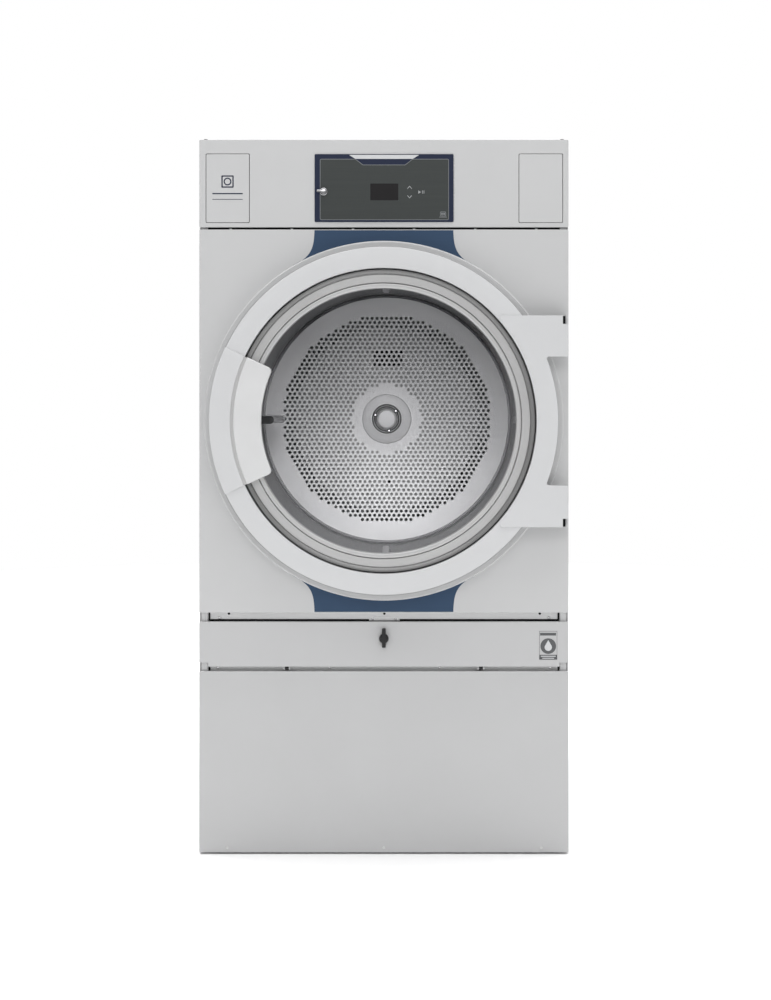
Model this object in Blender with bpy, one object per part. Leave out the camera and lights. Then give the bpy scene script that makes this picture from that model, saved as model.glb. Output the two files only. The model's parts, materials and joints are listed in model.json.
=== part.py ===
"""Commercial tumble dryer: cabinet, glazed loading door, driven drum, lint flap, control lid and air path.

Metres. X runs to the right as seen by the user, Y from the front to the back, Z up from the floor.
"""

import math

import bmesh
import bpy
from mathutils import Vector

# Cabinet
WIDTH = 0.960
DEPTH = 1.060
HALF = WIDTH / 2
FRONT = -DEPTH / 2
REAR = DEPTH / 2
SHEET = 0.0015
RETURN = 0.010
POST_Y = (0.0103, 0.0177)
FLANGE_Y = 0.0183
RAIL_FRONT = 0.0185
EDGE = 0.0012
CORNER = 0.003
GAP = 0.0003
SIDE_SHEET = 0.002
BODY_TOP = 1.8547
TOP = 1.857
PLUG_TOP = 1.861

# Heights of the front panels
LOWER_PANEL_Z = (0.004, 0.475)
FLAP_Z = (0.487, 0.6036)
FLAP_NOTCH = (0.457, 0.4976)
MAIN_PANEL_Z = (0.6275, 1.6234)
FASCIA_Z = (1.6294, 1.857)

# Door and drum share one axis
AXIS_Z = 1.1264
OPENING_R = 0.362
COLLAR_R = 0.467
COLLAR_PROUD = 0.004
DOOR_R = 0.446
DOOR_INNER_R = 0.389
WINDOW_R = 0.342
DOOR_BACK = 0.008
DOOR_FACE = 0.052
DOOR_PROUD = 0.056
HINGE_X = 0.4708
HINGE_PROUD = 0.030
PIN_R = 0.0029
PIN_BORE_R = 0.00298

DRUM_R = 0.407
DRUM_FRONT = 0.100
DRUM_BACK = 0.905
DISH_RIM_DEPTH = 0.902
DISH_CENTRE_DEPTH = 0.930
SHAFT_R = 0.025
SHAFT_BORE_R = 0.02509
PULLEY_R = 0.235
MOTOR_PULLEY_R = 0.030
BELT_THICK = 0.004
BELT_Y = (1.006, 1.024)
MOTOR = (0.27, 0.22)

FAN = (-0.20, 0.25)
FAN_R = 0.150
EXHAUST_R = 0.1005
EXHAUST_END = DEPTH + DOOR_PROUD
GLAND = (0.37, 1.62)

# Lint flap and control lid
FLAP_AXIS = (FRONT + 0.0055, 0.482)
FLAP_HINGE_X = 0.2525
FLAP_PIN_R = 0.002
FLAP_BORE_R = 0.00206
KNOB_Z = 0.561
LID_X = (-0.180, 0.181)
LID_Z = (1.6426, 1.8191)
LID_AXIS = (0.1825, FRONT + 0.0008)
LOCK = (-0.1565, 1.7209)

# Sides of the round pieces
BIG_ROUND = 48
SHAFT_ROUND = 40
MID_ROUND = 32
SMALL_ROUND = 16


def clear_scene():
    for item in list(bpy.data.objects):
        bpy.data.objects.remove(item, do_unlink=True)


def make_material(name, colour, metallic, roughness, alpha=1.0):
    made = bpy.data.materials.new(name)
    made.use_nodes = True
    shader = made.node_tree.nodes["Principled BSDF"]
    shader.inputs["Base Color"].default_value = (*colour, 1.0)
    shader.inputs["Metallic"].default_value = metallic
    shader.inputs["Roughness"].default_value = roughness
    shader.inputs["Alpha"].default_value = alpha
    return made


PALETTE = {
    "grey_paint": ((0.56, 0.56, 0.57), 0.0, 0.45),
    "white_paint": ((0.66, 0.66, 0.67), 0.0, 0.4),
    "door_paint": ((0.66, 0.67, 0.68), 0.0, 0.4),
    "steel": ((0.55, 0.56, 0.57), 1.0, 0.35),
    "galvanised": ((0.42, 0.43, 0.44), 1.0, 0.5),
    "dark_paint": ((0.05, 0.05, 0.055), 0.0, 0.5),
    "black_plastic": ((0.02, 0.02, 0.022), 0.0, 0.45),
    "rubber": ((0.015, 0.015, 0.016), 0.0, 0.8),
    "glass": ((0.85, 0.9, 0.92), 0.0, 0.05, 0.2),
    "control_film": ((0.05, 0.055, 0.065), 0.0, 0.3),
    "chrome": ((0.75, 0.75, 0.76), 1.0, 0.15),
    "mesh": ((0.5, 0.5, 0.5), 1.0, 0.4),
}
MATERIALS = {}


# Outlines: lists of (u, v) pairs, anticlockwise


def circle(radius, count, centre=(0.0, 0.0)):
    steps = [math.tau * i / count for i in range(count)]
    return [(centre[0] + radius * math.cos(a), centre[1] + radius * math.sin(a)) for a in steps]


def rectangle(u0, u1, v0, v1):
    return [(u0, v0), (u1, v0), (u1, v1), (u0, v1)]


def arc(centre, radius, start, end, steps):
    """Points on a circle from one angle to the other, in degrees, both ends included."""
    angles = [math.radians(start + (end - start) * i / steps) for i in range(steps + 1)]
    return [(centre[0] + radius * math.cos(a), centre[1] + radius * math.sin(a)) for a in angles]


def rounded(points, radius, steps=2):
    """The outline with each corner replaced by an arc."""
    result = []
    for i, corner in enumerate(points):
        here = Vector(corner)
        back = (Vector(points[i - 1]) - here).normalized()
        ahead = (Vector(points[(i + 1) % len(points)]) - here).normalized()
        half = back.angle(ahead) / 2
        centre = here + (back + ahead).normalized() * (radius / math.sin(half))
        start = here + back * (radius / math.tan(half)) - centre
        end = here + ahead * (radius / math.tan(half)) - centre
        for k in range(steps + 1):
            way = start.lerp(end, k / steps).normalized() * radius
            result.append(tuple(centre + way))
    return result


def inset(points, amount):
    """The outline moved inwards by an equal distance along every side."""
    result = []
    for i, corner in enumerate(points):
        here = Vector(corner)
        before = (here - Vector(points[i - 1])).normalized()
        after = (Vector(points[(i + 1) % len(points)]) - here).normalized()
        first = Vector((-before.y, before.x))
        second = Vector((-after.y, after.x))
        way = (first + second) / (1 + first.dot(second))
        result.append(tuple(here + way * amount))
    return result


# Placing an outline in space


def facing(points, depth):
    """In a plane parallel to the front, at a depth behind it."""
    return [(u, FRONT + depth, v) for u, v in points]


def level(points, z):
    """In a horizontal plane."""
    return [(u, v, z) for u, v in points]


def upright(points, x):
    """In a plane parallel to the sides."""
    return [(x, u, v) for u, v in points]


# Solids


def skin(loops, ring=False):
    """A mesh through loops of equal length: capped at both ends, or closed on itself as a ring."""
    mesh = bmesh.new()
    rows = [[mesh.verts.new(point) for point in loop] for loop in loops]
    count = len(rows[0])
    pairs = list(zip(rows, rows[1:]))
    if ring:
        pairs.append((rows[-1], rows[0]))
    else:
        mesh.faces.new(rows[0])
        mesh.faces.new(rows[-1])
    for low, high in pairs:
        for i in range(count):
            j = (i + 1) % count
            mesh.faces.new((low[i], low[j], high[j], high[i]))
    return mesh


def smooth_round_faces(mesh, limit=math.radians(32)):
    for face in mesh.faces:
        face.smooth = True
    for edge in mesh.edges:
        edge.smooth = len(edge.link_faces) == 2 and edge.calc_face_angle(0.0) < limit


def add(name, mesh, material, origin=(0.0, 0.0, 0.0)):
    """Turns a bmesh into a named object, its origin where the piece turns."""
    bmesh.ops.recalc_face_normals(mesh, faces=mesh.faces)
    smooth_round_faces(mesh)
    bmesh.ops.translate(mesh, verts=mesh.verts, vec=-Vector(origin))
    data = bpy.data.meshes.new(name)
    mesh.to_mesh(data)
    mesh.free()
    made = bpy.data.objects.new(name, data)
    made.location = origin
    if material:
        data.materials.append(MATERIALS[material])
    bpy.context.scene.collection.objects.link(made)
    return made


def prism(outline, place, start, end):
    return skin([place(outline, start), place(outline, end)])


def box(x, y, z):
    """A block between pairs of limits, y counted from the front of the cabinet."""
    return prism(rectangle(*x, *z), facing, *y)


def tray(outline, place, start, end, wall=SHEET, edge=EDGE):
    """A folded sheet-metal pan: its face at start, its rim at end, its edges slightly rounded."""
    way = 1 if end > start else -1
    return skin([
        place(inset(outline, edge), start),
        place(outline, start + way * edge),
        place(outline, end),
        place(inset(outline, wall), end),
        place(inset(outline, wall), start + way * wall),
    ])


def turned(profile, count, place, centre, ring=False):
    """A round piece from (radius, distance along the axis) pairs."""
    return skin([place(circle(r, count, centre), along) for r, along in profile], ring)


def sector(profile, centre, start, end, steps):
    """A (radius, depth) profile swept round part of a circle, from one angle to the other, in degrees."""
    loops = []
    for i in range(steps + 1):
        angle = math.radians(start + (end - start) * i / steps)
        loops.append([
            (centre[0] + r * math.cos(angle), FRONT + depth, centre[1] + r * math.sin(angle))
            for r, depth in profile
        ])
    return skin(loops)


def combine(target, operation, meshes):
    """Joins tool meshes to the target, or cuts them out of it, in one step."""
    whole = bmesh.new()
    for mesh in meshes:
        bmesh.ops.recalc_face_normals(mesh, faces=mesh.faces)
        data = bpy.data.meshes.new("tool")
        mesh.to_mesh(data)
        mesh.free()
        whole.from_mesh(data)
        bpy.data.meshes.remove(data)
    tool = add(f"{target.name}_{operation.lower()}", whole, None)
    tool.hide_render = True
    tool.display_type = "WIRE"
    step = target.modifiers.new(tool.name, "BOOLEAN")
    step.operation = operation
    step.solver = "EXACT"
    step.use_self = operation == "UNION"
    step.object = tool


def cut(target, *meshes):
    combine(target, "DIFFERENCE", meshes)


def join(target, *meshes):
    combine(target, "UNION", meshes)


def mirrored(limits):
    return (-limits[1], -limits[0])


# The cabinet: frame, feet and outer sheets


def build_frame():
    pan = rounded(rectangle(-0.470, 0.470, FRONT + 0.030, REAR - 0.006), CORNER)
    add("base_pan", tray(pan, level, 0.030, 0.075, SIDE_SHEET), "galvanised")
    foot = [(0.026, 0.0), (0.026, 0.008), (0.012, 0.012), (0.008, 0.012), (0.008, 0.030 - GAP)]
    for side, x in (("left", -0.42), ("right", 0.42)):
        for end, y in (("front", -0.44), ("rear", 0.44)):
            add(f"foot_{end}_{side}", turned(foot, SMALL_ROUND, level, (x, y)), "black_plastic")
    post = (0.459, 0.476)
    for side, x in (("left", mirrored(post)), ("right", post)):
        outline = rectangle(*x, FRONT + POST_Y[0], FRONT + POST_Y[1])
        add(f"post_front_{side}", prism(rounded(outline, 0.001), level, 0.0755, 1.850), "grey_paint")

    # Each rail is narrow between the posts and wide behind them.
    rail = [
        (-0.4535, FRONT + RAIL_FRONT), (0.4535, FRONT + RAIL_FRONT), (0.4535, FRONT + 0.0215),
        (0.4765, FRONT + 0.0215), (0.4765, FRONT + 0.045), (-0.4765, FRONT + 0.045),
        (-0.4765, FRONT + 0.0215), (-0.4535, FRONT + 0.0215),
    ]
    upper = add("flap_rail_upper", prism(rail, level, 0.6075, 0.640), "grey_paint")
    join(upper, box((-0.039, 0.041), (0.0185, 0.022), (FLAP_Z[1] + 0.0006, 0.615)))
    add("flap_rail_lower", prism(rail, level, 0.455, 0.500), "grey_paint")

    beam_z = (AXIS_Z - 0.065, AXIS_Z + 0.065)
    beam = add("bearing_beam", box((-0.470, 0.470), (0.950, 0.990), beam_z), "galvanised")
    cut(beam, turned([(0.055, 0.94), (0.055, 1.0)], SHAFT_ROUND, facing, (0, AXIS_Z)))
    housing = [
        (SHAFT_BORE_R, 0.944), (0.0547, 0.944), (0.0547, 0.990 + GAP),
        (0.085, 0.990 + GAP), (0.085, 0.997), (SHAFT_BORE_R, 0.997),
    ]
    add("bearing_housing", turned(housing, SHAFT_ROUND, facing, (0, AXIS_Z), ring=True), "steel")


def build_sheets():
    # A side wraps round the front post and folds inwards behind it and at the back.
    front = FRONT + RETURN + GAP
    fold = FRONT + FLANGE_Y
    back = REAR - 0.0035
    inner = HALF - SIDE_SHEET
    for side, sign in (("left", -1), ("right", 1)):
        channel = [
            (HALF, front), (HALF, back), (0.458, back), (0.458, back - SHEET), (inner, back - SHEET),
            (inner, fold + SHEET), (0.458, fold + SHEET), (0.458, fold), (inner, fold), (inner, front),
        ]
        outline = [(sign * x, y) for x, y in channel]
        add(f"side_panel_{side}", prism(outline, level, 0.006, BODY_TOP), "grey_paint")

    cover = rounded(rectangle(-HALF, HALF, front, back), CORNER)
    rib = rounded(rectangle(-0.474, 0.474, fold + 0.006, back - 0.006), CORNER)
    top = add("top_panel", skin([
        level(inset(cover, EDGE), TOP),
        level(cover, TOP - EDGE),
        level(cover, BODY_TOP + GAP),
        level(rib, BODY_TOP + GAP),
        level(rib, BODY_TOP - 0.016),
        level(inset(rib, SHEET), BODY_TOP - 0.016),
        level(inset(rib, SHEET), TOP - SHEET),
    ]), "grey_paint")
    # A round plug closes the top of each front post.
    plug = [(0.005, TOP - 0.001), (0.005, PLUG_TOP - 0.0007), (0.004, PLUG_TOP)]
    join(top, *[turned(plug, 12, level, (x, FRONT + 0.0165)) for x in (-0.465, 0.465)])

    sheet = rounded(rectangle(-0.476, 0.476, 0.090, 1.840), CORNER)
    rear = add("rear_panel", prism(sheet, facing, DEPTH - 0.0032, DEPTH - 0.0015), "galvanised")
    slots = []
    through = (DEPTH - 0.01, DEPTH + 0.01)
    for row in range(6):
        slot_z = 1.60 + 0.03 * row
        for column in (-0.16, 0.0, 0.16):
            slot = rectangle(column - 0.06, column + 0.06, slot_z, slot_z + 0.01)
            slots.append(prism(slot, facing, *through))
    cut(
        rear,
        turned([(0.104, y) for y in through], MID_ROUND, facing, FAN),
        turned([(0.0125, y) for y in through], SMALL_ROUND, facing, GLAND),
        *slots,
    )
    gland = [
        (0.006, 1.045), (0.0122, 1.045), (0.0122, DEPTH - 0.0015 + GAP), (0.018, DEPTH - 0.0015 + GAP),
        (0.018, 1.070), (0.014, 1.072), (0.014, 1.082), (0.010, 1.088), (0.006, 1.088),
    ]
    add("cable_gland", turned(gland, SMALL_ROUND, facing, GLAND, ring=True), "black_plastic")


# The front: panels, flap, fascia and covers


def build_front_panels():
    outline = rounded(rectangle(-HALF, HALF, *LOWER_PANEL_Z), CORNER)
    add("lower_panel", tray(outline, facing, 0.0, RETURN), "grey_paint")

    # The strip behind the foot of the lower panel shows as a row of short teeth.
    pitch = 0.0394
    tooth = 0.020
    teeth = 24
    first = -pitch * (teeth - 1) / 2 - tooth / 2
    strip = [(0.457, 0.012), (-0.457, 0.012), (-0.457, 0.0045)]
    for i in range(teeth):
        left = max(first + pitch * i, -0.4565)
        right = min(first + pitch * i + tooth, 0.4565)
        strip += [(left, 0.0045), (left, 0.0007), (right, 0.0007), (right, 0.0045)]
    strip.append((0.457, 0.0045))
    add("skirt_strip", prism(strip, facing, 0.0195, 0.0215), "black_plastic")

    outline = rounded(rectangle(-HALF, HALF, *MAIN_PANEL_Z), CORNER)
    panel = add("front_panel", tray(outline, facing, 0.0, RETURN), "grey_paint")
    centre = (0, AXIS_Z)
    collar = [(COLLAR_R - 0.005, -COLLAR_PROUD), (COLLAR_R, 0.0), (COLLAR_R, 0.001)]
    join(panel, turned(collar, BIG_ROUND, facing, centre))
    cut(panel, turned([(OPENING_R, -0.02), (OPENING_R, 0.03)], BIG_ROUND, facing, centre))

    tunnel_r = OPENING_R - GAP
    tunnel = [
        (0.360, -0.0035), (tunnel_r, -0.0035), (tunnel_r, SHEET + GAP), (0.385, SHEET + GAP),
        (0.385, 0.0035), (tunnel_r, 0.0035), (tunnel_r, 0.088), (0.360, 0.088),
    ]
    add("loading_tunnel", turned(tunnel, BIG_ROUND, facing, centre, ring=True), "steel")

    outline = rounded(rectangle(-HALF, HALF, *FASCIA_Z), CORNER)
    fascia = add("top_fascia", tray(outline, facing, 0.0, RETURN), "grey_paint")
    plate_z = (1.6416, 1.8197)
    plates = {"left": (-0.462, -0.350), "right": (0.3515, 0.4645)}
    openings = [
        rectangle(LID_X[0] + 0.0015, LID_AXIS[0] + 0.0015, LID_Z[0] + 0.002, LID_Z[1] - 0.002)
    ]
    for side, (x0, x1) in plates.items():
        openings.append(rectangle(x0 - 0.001, x1 + 0.001, plate_z[0] - 0.001, plate_z[1] + 0.001))
        plate = rounded(rectangle(x0, x1, *plate_z), CORNER)
        add(f"cover_plate_{side}", prism(plate, facing, 0.0, SHEET), "grey_paint")
    cut(fascia, *[prism(rounded(o, CORNER), facing, -0.01, 0.01) for o in openings])


def build_flap():
    axis_y, axis_z = FLAP_AXIS
    low = FLAP_Z[0]
    side, notch = FLAP_NOTCH
    outline = [
        (-side, low), (side, low), (side, notch), (HALF, notch),
        (HALF, FLAP_Z[1]), (-HALF, FLAP_Z[1]), (-HALF, notch), (-side, notch),
    ]
    shape = tray(rounded(outline, 0.002), facing, 0.0, RETURN)
    flap = add("flap", shape, "grey_paint", (0, axis_y, axis_z))
    depth = axis_y - FRONT
    lug_y = (depth - 0.003, depth + 0.003)
    lug_z = (axis_z - 0.003, low + 0.001)
    lug_at = 0.0075
    lug_half = 0.0015
    for x in (-FLAP_HINGE_X, FLAP_HINGE_X):
        ends = [(FLAP_PIN_R, x - lug_at - lug_half), (FLAP_PIN_R, x + lug_at + lug_half)]
        pin = turned(ends, SMALL_ROUND, upright, FLAP_AXIS)
        lugs = [
            box((middle - lug_half, middle + lug_half), lug_y, lug_z)
            for middle in (x - lug_at, x + lug_at)
        ]
        join(flap, pin, *lugs)
    cut(flap, turned([(0.0045, -0.01), (0.0045, 0.01)], SMALL_ROUND, facing, (0, KNOB_Z)))

    # Each knuckle stands between two lugs, on a foot that runs back to the lower rail.
    barrel_r = 0.0045
    half = 0.0045
    foot_y = (depth + 0.0025, RAIL_FRONT - GAP)
    foot_z = (axis_z - 0.0035, axis_z + 0.001)
    for side, x in (("left", -FLAP_HINGE_X), ("right", FLAP_HINGE_X)):
        barrel = [
            (FLAP_BORE_R, x - half), (barrel_r, x - half),
            (barrel_r, x + half), (FLAP_BORE_R, x + half),
        ]
        tube = turned(barrel, SMALL_ROUND, upright, FLAP_AXIS, ring=True)
        knuckle = add(f"flap_hinge_{side}", tube, "black_plastic")
        join(knuckle, box((x - half, x + half), foot_y, foot_z))

    # Knob, spindle and cam turn together in the flap.
    spindle = [(0.011, -0.012), (0.012, -0.011), (0.012, -GAP), (0.0042, -GAP), (0.0042, 0.008)]
    turning = turned(spindle, SMALL_ROUND, facing, (0, KNOB_Z))
    knob = add("flap_knob", turning, "black_plastic", (0, FRONT, KNOB_Z))
    wing = rounded(rectangle(-0.005, 0.005, KNOB_Z - 0.022, KNOB_Z + 0.027), 0.002)
    cam = rounded(rectangle(-0.006, 0.006, KNOB_Z - 0.007, KNOB_Z + 0.030), 0.002)
    join(knob, prism(wing, facing, -0.018, -0.004), prism(cam, facing, 0.004, 0.0065))


def build_controls():
    outline = rounded(rectangle(*LID_X, *LID_Z), CORNER)
    origin = (LID_AXIS[0], LID_AXIS[1], AXIS_Z + 0.6)
    lid = add("control_lid", skin([
        facing(inset(outline, 0.001), -0.0023),
        facing(outline, -0.0013),
        facing(outline, -GAP),
        facing(inset(outline, 0.009), -GAP),
        facing(inset(outline, 0.009), 0.014),
    ]), "control_film", origin)
    cut(lid, turned([(0.0098, -0.02), (0.0098, 0.03)], SMALL_ROUND, facing, LOCK))

    barrel = [
        (0.0070, -0.0080), (0.0082, -0.0072), (0.0104, -0.0052), (0.0104, -0.0026),
        (0.0095, -0.0026), (0.0095, 0.018),
    ]
    turning = turned(barrel, SMALL_ROUND, facing, LOCK)
    lock = add("control_lock", turning, "chrome", (LOCK[0], FRONT, LOCK[1]))
    lever = rounded(rectangle(LOCK[0] - 0.018, LOCK[0] + 0.004, LOCK[1] - 0.0022, LOCK[1] + 0.0022), 0.001)
    cam = rounded(rectangle(LOCK[0] - 0.012, LOCK[0] + 0.006, LOCK[1] - 0.005, LOCK[1] + 0.005), 0.002)
    join(lock, prism(lever, facing, -0.012, -0.006), prism(cam, facing, 0.0155, 0.018))

    x, y = LID_AXIS
    rod = [(0.0009, LID_Z[0] + 0.0055), (0.0009, LID_Z[1] - 0.0055)]
    add("control_hinge_rod", turned(rod, 12, level, (x, y)), "steel")

    case = rounded(rectangle(-0.176, 0.178, 1.646, 1.816), CORNER)
    housing = add("electronics_tray", tray(case, facing, 0.080, 0.0225), "galvanised")
    board = rounded(rectangle(-0.150, 0.150, 1.662, 1.800), CORNER)
    posts = [
        box((x - 0.004, x + 0.004), (0.0615, 0.0790), (z - 0.004, z + 0.004))
        for x in (-0.140, 0.140) for z in (1.672, 1.790)
    ]
    join(housing, prism(board, facing, 0.060, 0.062), *posts)


# The loading door


def build_door():
    centre = (0, AXIS_Z)
    hinge = (HINGE_X, FRONT - HINGE_PROUD, AXIS_Z)
    ring = [
        (DOOR_R, -DOOR_BACK), (DOOR_R, -0.042), (DOOR_R - 0.002, -0.048), (DOOR_R - 0.007, -0.0512),
        (0.430, -DOOR_FACE), (0.400, -DOOR_FACE), (DOOR_INNER_R + 0.003, -0.0505),
        (DOOR_INNER_R, -0.046), (DOOR_INNER_R, -DOOR_BACK),
    ]
    add("door_ring", turned(ring, BIG_ROUND, facing, centre, ring=True), "door_paint", hinge)

    bezel_r = DOOR_INNER_R - 0.0005
    bezel = [
        (bezel_r, -0.0118), (bezel_r, -0.036), (0.383, -0.040), (0.377, -0.037), (0.376, -0.030),
        (0.3545, -0.030), (0.3535, -0.034), (0.350, -0.034), (WINDOW_R, -0.026), (WINDOW_R, -0.0118),
    ]
    add("window_bezel", turned(bezel, BIG_ROUND, facing, centre, ring=True), "steel", hinge)
    pane_r = WINDOW_R - 0.0009
    pane = [(pane_r - 0.001, -0.022), (pane_r, -0.021), (pane_r, -0.018), (pane_r - 0.001, -0.017)]
    add("door_glass", turned(pane, BIG_ROUND, facing, centre), "glass", hinge)
    seal = [
        (0.384, -0.0115), (0.384, -0.0065), (0.382, -COLLAR_PROUD - GAP), (0.368, -COLLAR_PROUD - GAP),
        (0.366, -0.0065), (0.366, -0.0115),
    ]
    add("door_seal", turned(seal, BIG_ROUND, facing, centre, ring=True), "rubber", hinge)

    # Grip and cover plate of the handle, joined by a thin web under the groove.
    handle = [
        (0.314, -0.0405), (0.314, -0.053), (0.317, -DOOR_PROUD), (0.3845, -DOOR_PROUD), (0.3855, -0.0545),
        (0.3925, -0.0545), (0.3935, -DOOR_PROUD), (0.4435, -DOOR_PROUD), (0.4475, -0.0525),
        (0.4475, -DOOR_FACE - GAP), (0.386, -DOOR_FACE - GAP), (0.384, -0.0405),
    ]
    add("door_handle", sector(handle, centre, 155, 205, 16), "white_paint", hinge)

    plate_z = (0.854, 1.396)
    edge_x = 0.4722
    notch_x = 0.459
    notch_z = 0.0215
    window_z = (0.959, 1.291)
    reach = 0.447
    inner = DOOR_INNER_R + 0.0005
    left = 0.298
    cut_angle = math.degrees(math.asin((window_z[1] - AXIS_Z) / reach))
    inner_angle = math.degrees(math.acos(left / inner))
    outline = [
        (left, plate_z[0]), (notch_x, plate_z[0]), (notch_x, plate_z[0] + notch_z),
        (edge_x, plate_z[0] + notch_z), (edge_x, window_z[0]),
        *arc(centre, reach, -cut_angle, cut_angle, 12),
        (edge_x, window_z[1]), (edge_x, plate_z[1] - notch_z), (notch_x, plate_z[1] - notch_z),
        (notch_x, plate_z[1]), (left, plate_z[1]),
        *arc(centre, inner, inner_angle, -inner_angle, 18),
    ]
    face = (-DOOR_FACE - GAP, -0.0548)
    plate = add("hinge_plate", prism(outline, facing, *face), "door_paint", hinge)
    for low, high, tip in (
        (plate_z[0] + notch_z, window_z[0] - 0.004, plate_z[0] + 0.004),
        (window_z[1] + 0.004, plate_z[1] - notch_z, plate_z[1] - 0.004),
    ):
        near = low if tip < low else high
        far = near + (0.040 if tip < low else -0.040)
        knuckle = [(0.0048, far), (0.0048, near), (PIN_R, near), (PIN_R, tip)]
        join(
            plate,
            box((HINGE_X - 0.0045, edge_x), (-0.0535, -HINGE_PROUD + 0.003), (low, high)),
            turned(knuckle, SMALL_ROUND, level, (HINGE_X, FRONT - HINGE_PROUD)),
        )
    # Each bracket fills the plate's corner notch, 2 mm short of the knuckle, and stands past its end.
    bracket_x = (0.4665, 0.4752)
    within = notch_z - 0.002
    past = 0.0025
    for name, bracket_z in (
        ("upper", (plate_z[1] - within, plate_z[1] + past)),
        ("lower", (plate_z[0] - past, plate_z[0] + within)),
    ):
        ear = add(f"hinge_bracket_{name}", box(bracket_x, (-0.036, -GAP), bracket_z), "grey_paint")
        bore = [(PIN_BORE_R, bracket_z[0] - 0.01), (PIN_BORE_R, bracket_z[1] + 0.01)]
        cut(ear, turned(bore, SMALL_ROUND, level, (HINGE_X, FRONT - HINGE_PROUD)))
    catch_z = (AXIS_Z - 0.03, AXIS_Z + 0.03)
    add("door_catch", box((-0.425, -0.400), (-0.0072, -COLLAR_PROUD - GAP), catch_z), "steel")


# The drum and its drive


def lifter(name, angle, width, height, depths):
    """A rib with bevelled shoulders, standing inwards from the drum wall."""
    foot = DRUM_R - 0.0015
    top = foot - height
    half = width / 2
    shoulder = top + 0.2 * height
    section = [
        (-half, foot), (half, foot), (half * 0.8, shoulder),
        (half * 0.4, top), (-half * 0.4, top), (-half * 0.8, shoulder),
    ]
    turn = math.radians(angle)
    across = Vector((-math.sin(turn), math.cos(turn)))
    out = Vector((math.cos(turn), math.sin(turn)))
    placed = [tuple(across * u + out * v + Vector((0, AXIS_Z))) for u, v in section]
    add(name, prism(placed, facing, *depths), "steel", (0, FRONT, AXIS_Z))


def build_drum():
    centre = (0, AXIS_Z)
    origin = (0, FRONT, AXIS_Z)
    outer = DRUM_R + SHEET
    shell = [
        (0.366, DRUM_FRONT), (outer, DRUM_FRONT), (outer, DRUM_BACK), (DRUM_R, DRUM_BACK),
        (DRUM_R, DRUM_FRONT + SHEET), (0.366, DRUM_FRONT + SHEET),
    ]
    add("drum_shell", turned(shell, BIG_ROUND, facing, centre, ring=True), "steel", origin)
    rim = DRUM_R - 0.001
    dish = [
        (0.120, DISH_CENTRE_DEPTH), (0.394, DISH_RIM_DEPTH), (0.397, 0.905), (0.401, 0.901), (rim, 0.898),
        (rim, 0.904), (0.394, 0.908), (0.120, DISH_CENTRE_DEPTH + 0.002),
    ]
    add("drum_back", turned(dish, BIG_ROUND, facing, centre), "steel", origin)
    # Three low lifters and one tall one.
    for name, angle in (("lifter_top", 90), ("lifter_right", 0), ("lifter_bottom", 270)):
        lifter(name, angle, 0.025, 0.013, (0.25, 0.70))
    lifter("lifter_left", 180, 0.025, 0.092, (0.30, 0.70))

    hub_back = DISH_CENTRE_DEPTH - GAP
    hub = [
        (0.028, 0.9165), (0.0314, 0.9185), (0.0314, 0.9245), (0.0486, 0.9245), (0.0486, 0.9195),
        (0.051, 0.9185), (0.060, 0.9240), (0.080, 0.9255), (0.080, hub_back),
    ]
    add("drum_hub", turned(hub, MID_ROUND, facing, centre), "steel", origin)
    start = DISH_CENTRE_DEPTH + 0.002 + GAP
    shaft = [(0.070, start), (0.070, start + 0.004), (SHAFT_R, start + 0.004), (SHAFT_R, 1.040)]
    add("drum_shaft", turned(shaft, SHAFT_ROUND, facing, centre), "steel", origin)
    pulley = [
        (SHAFT_R + GAP, 1.004), (0.226, 1.012), (0.226, 1.004), (PULLEY_R, 1.004),
        (PULLEY_R, 1.026), (0.226, 1.026), (0.226, 1.017), (SHAFT_R + GAP, 1.026),
    ]
    add("drum_pulley", turned(pulley, BIG_ROUND, facing, centre, ring=True), "galvanised", origin)
    disc = turned([(0.300, 0.940), (0.300, 0.9415)], MID_ROUND, facing, centre)
    baffle = add("air_baffle", disc, "galvanised")
    cut(
        baffle,
        turned([(0.032, 0.93), (0.032, 0.95)], SMALL_ROUND, facing, centre),
        box((-0.046, 0.053), (0.93, 0.95), (AXIS_Z + 0.170, AXIS_Z + 0.227)),
    )


def belt_outline(clearance, steps=24):
    """The loop that a belt makes round both pulleys, at a distance outside them."""
    big = Vector((0, AXIS_Z))
    small = Vector(MOTOR)
    line = small - big
    lean = math.atan2(line.y, line.x)
    spread = math.acos((PULLEY_R - MOTOR_PULLEY_R) / line.length)
    first = math.degrees(lean + spread)
    last = math.degrees(lean - spread)
    return [
        *arc(tuple(big), PULLEY_R + clearance, first, last + 360, steps * 2),
        *arc(tuple(small), MOTOR_PULLEY_R + clearance, last, first, steps // 2),
    ]


def build_drive():
    loops = [facing(belt_outline(GAP), BELT_Y[0]), facing(belt_outline(GAP + BELT_THICK), BELT_Y[0])]
    loops += [facing(belt_outline(GAP + BELT_THICK), BELT_Y[1]), facing(belt_outline(GAP), BELT_Y[1])]
    add("drive_belt", skin(loops, ring=True), "rubber")
    shaft_r = 0.009
    body = [
        (0.060, 0.780), (0.080, 0.792), (0.080, 0.955), (0.060, 0.968),
        (shaft_r + 0.00013, 0.968), (shaft_r + 0.00013, 0.950),
    ]
    motor = add("drive_motor", turned(body, MID_ROUND, facing, MOTOR), "dark_paint")
    join(motor, box((MOTOR[0] - 0.065, MOTOR[0] + 0.065), (0.800, 0.945), (0.0325, 0.165)))
    pulley = [
        (shaft_r, 0.953), (shaft_r, 1.004), (MOTOR_PULLEY_R, 1.004),
        (MOTOR_PULLEY_R, 1.026), (shaft_r, 1.026), (shaft_r, 1.034),
    ]
    turning = turned(pulley, MID_ROUND, facing, MOTOR)
    add("motor_pulley", turning, "steel", (MOTOR[0], FRONT, MOTOR[1]))


# The air path: heater, lint drawer, fan and exhaust


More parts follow.
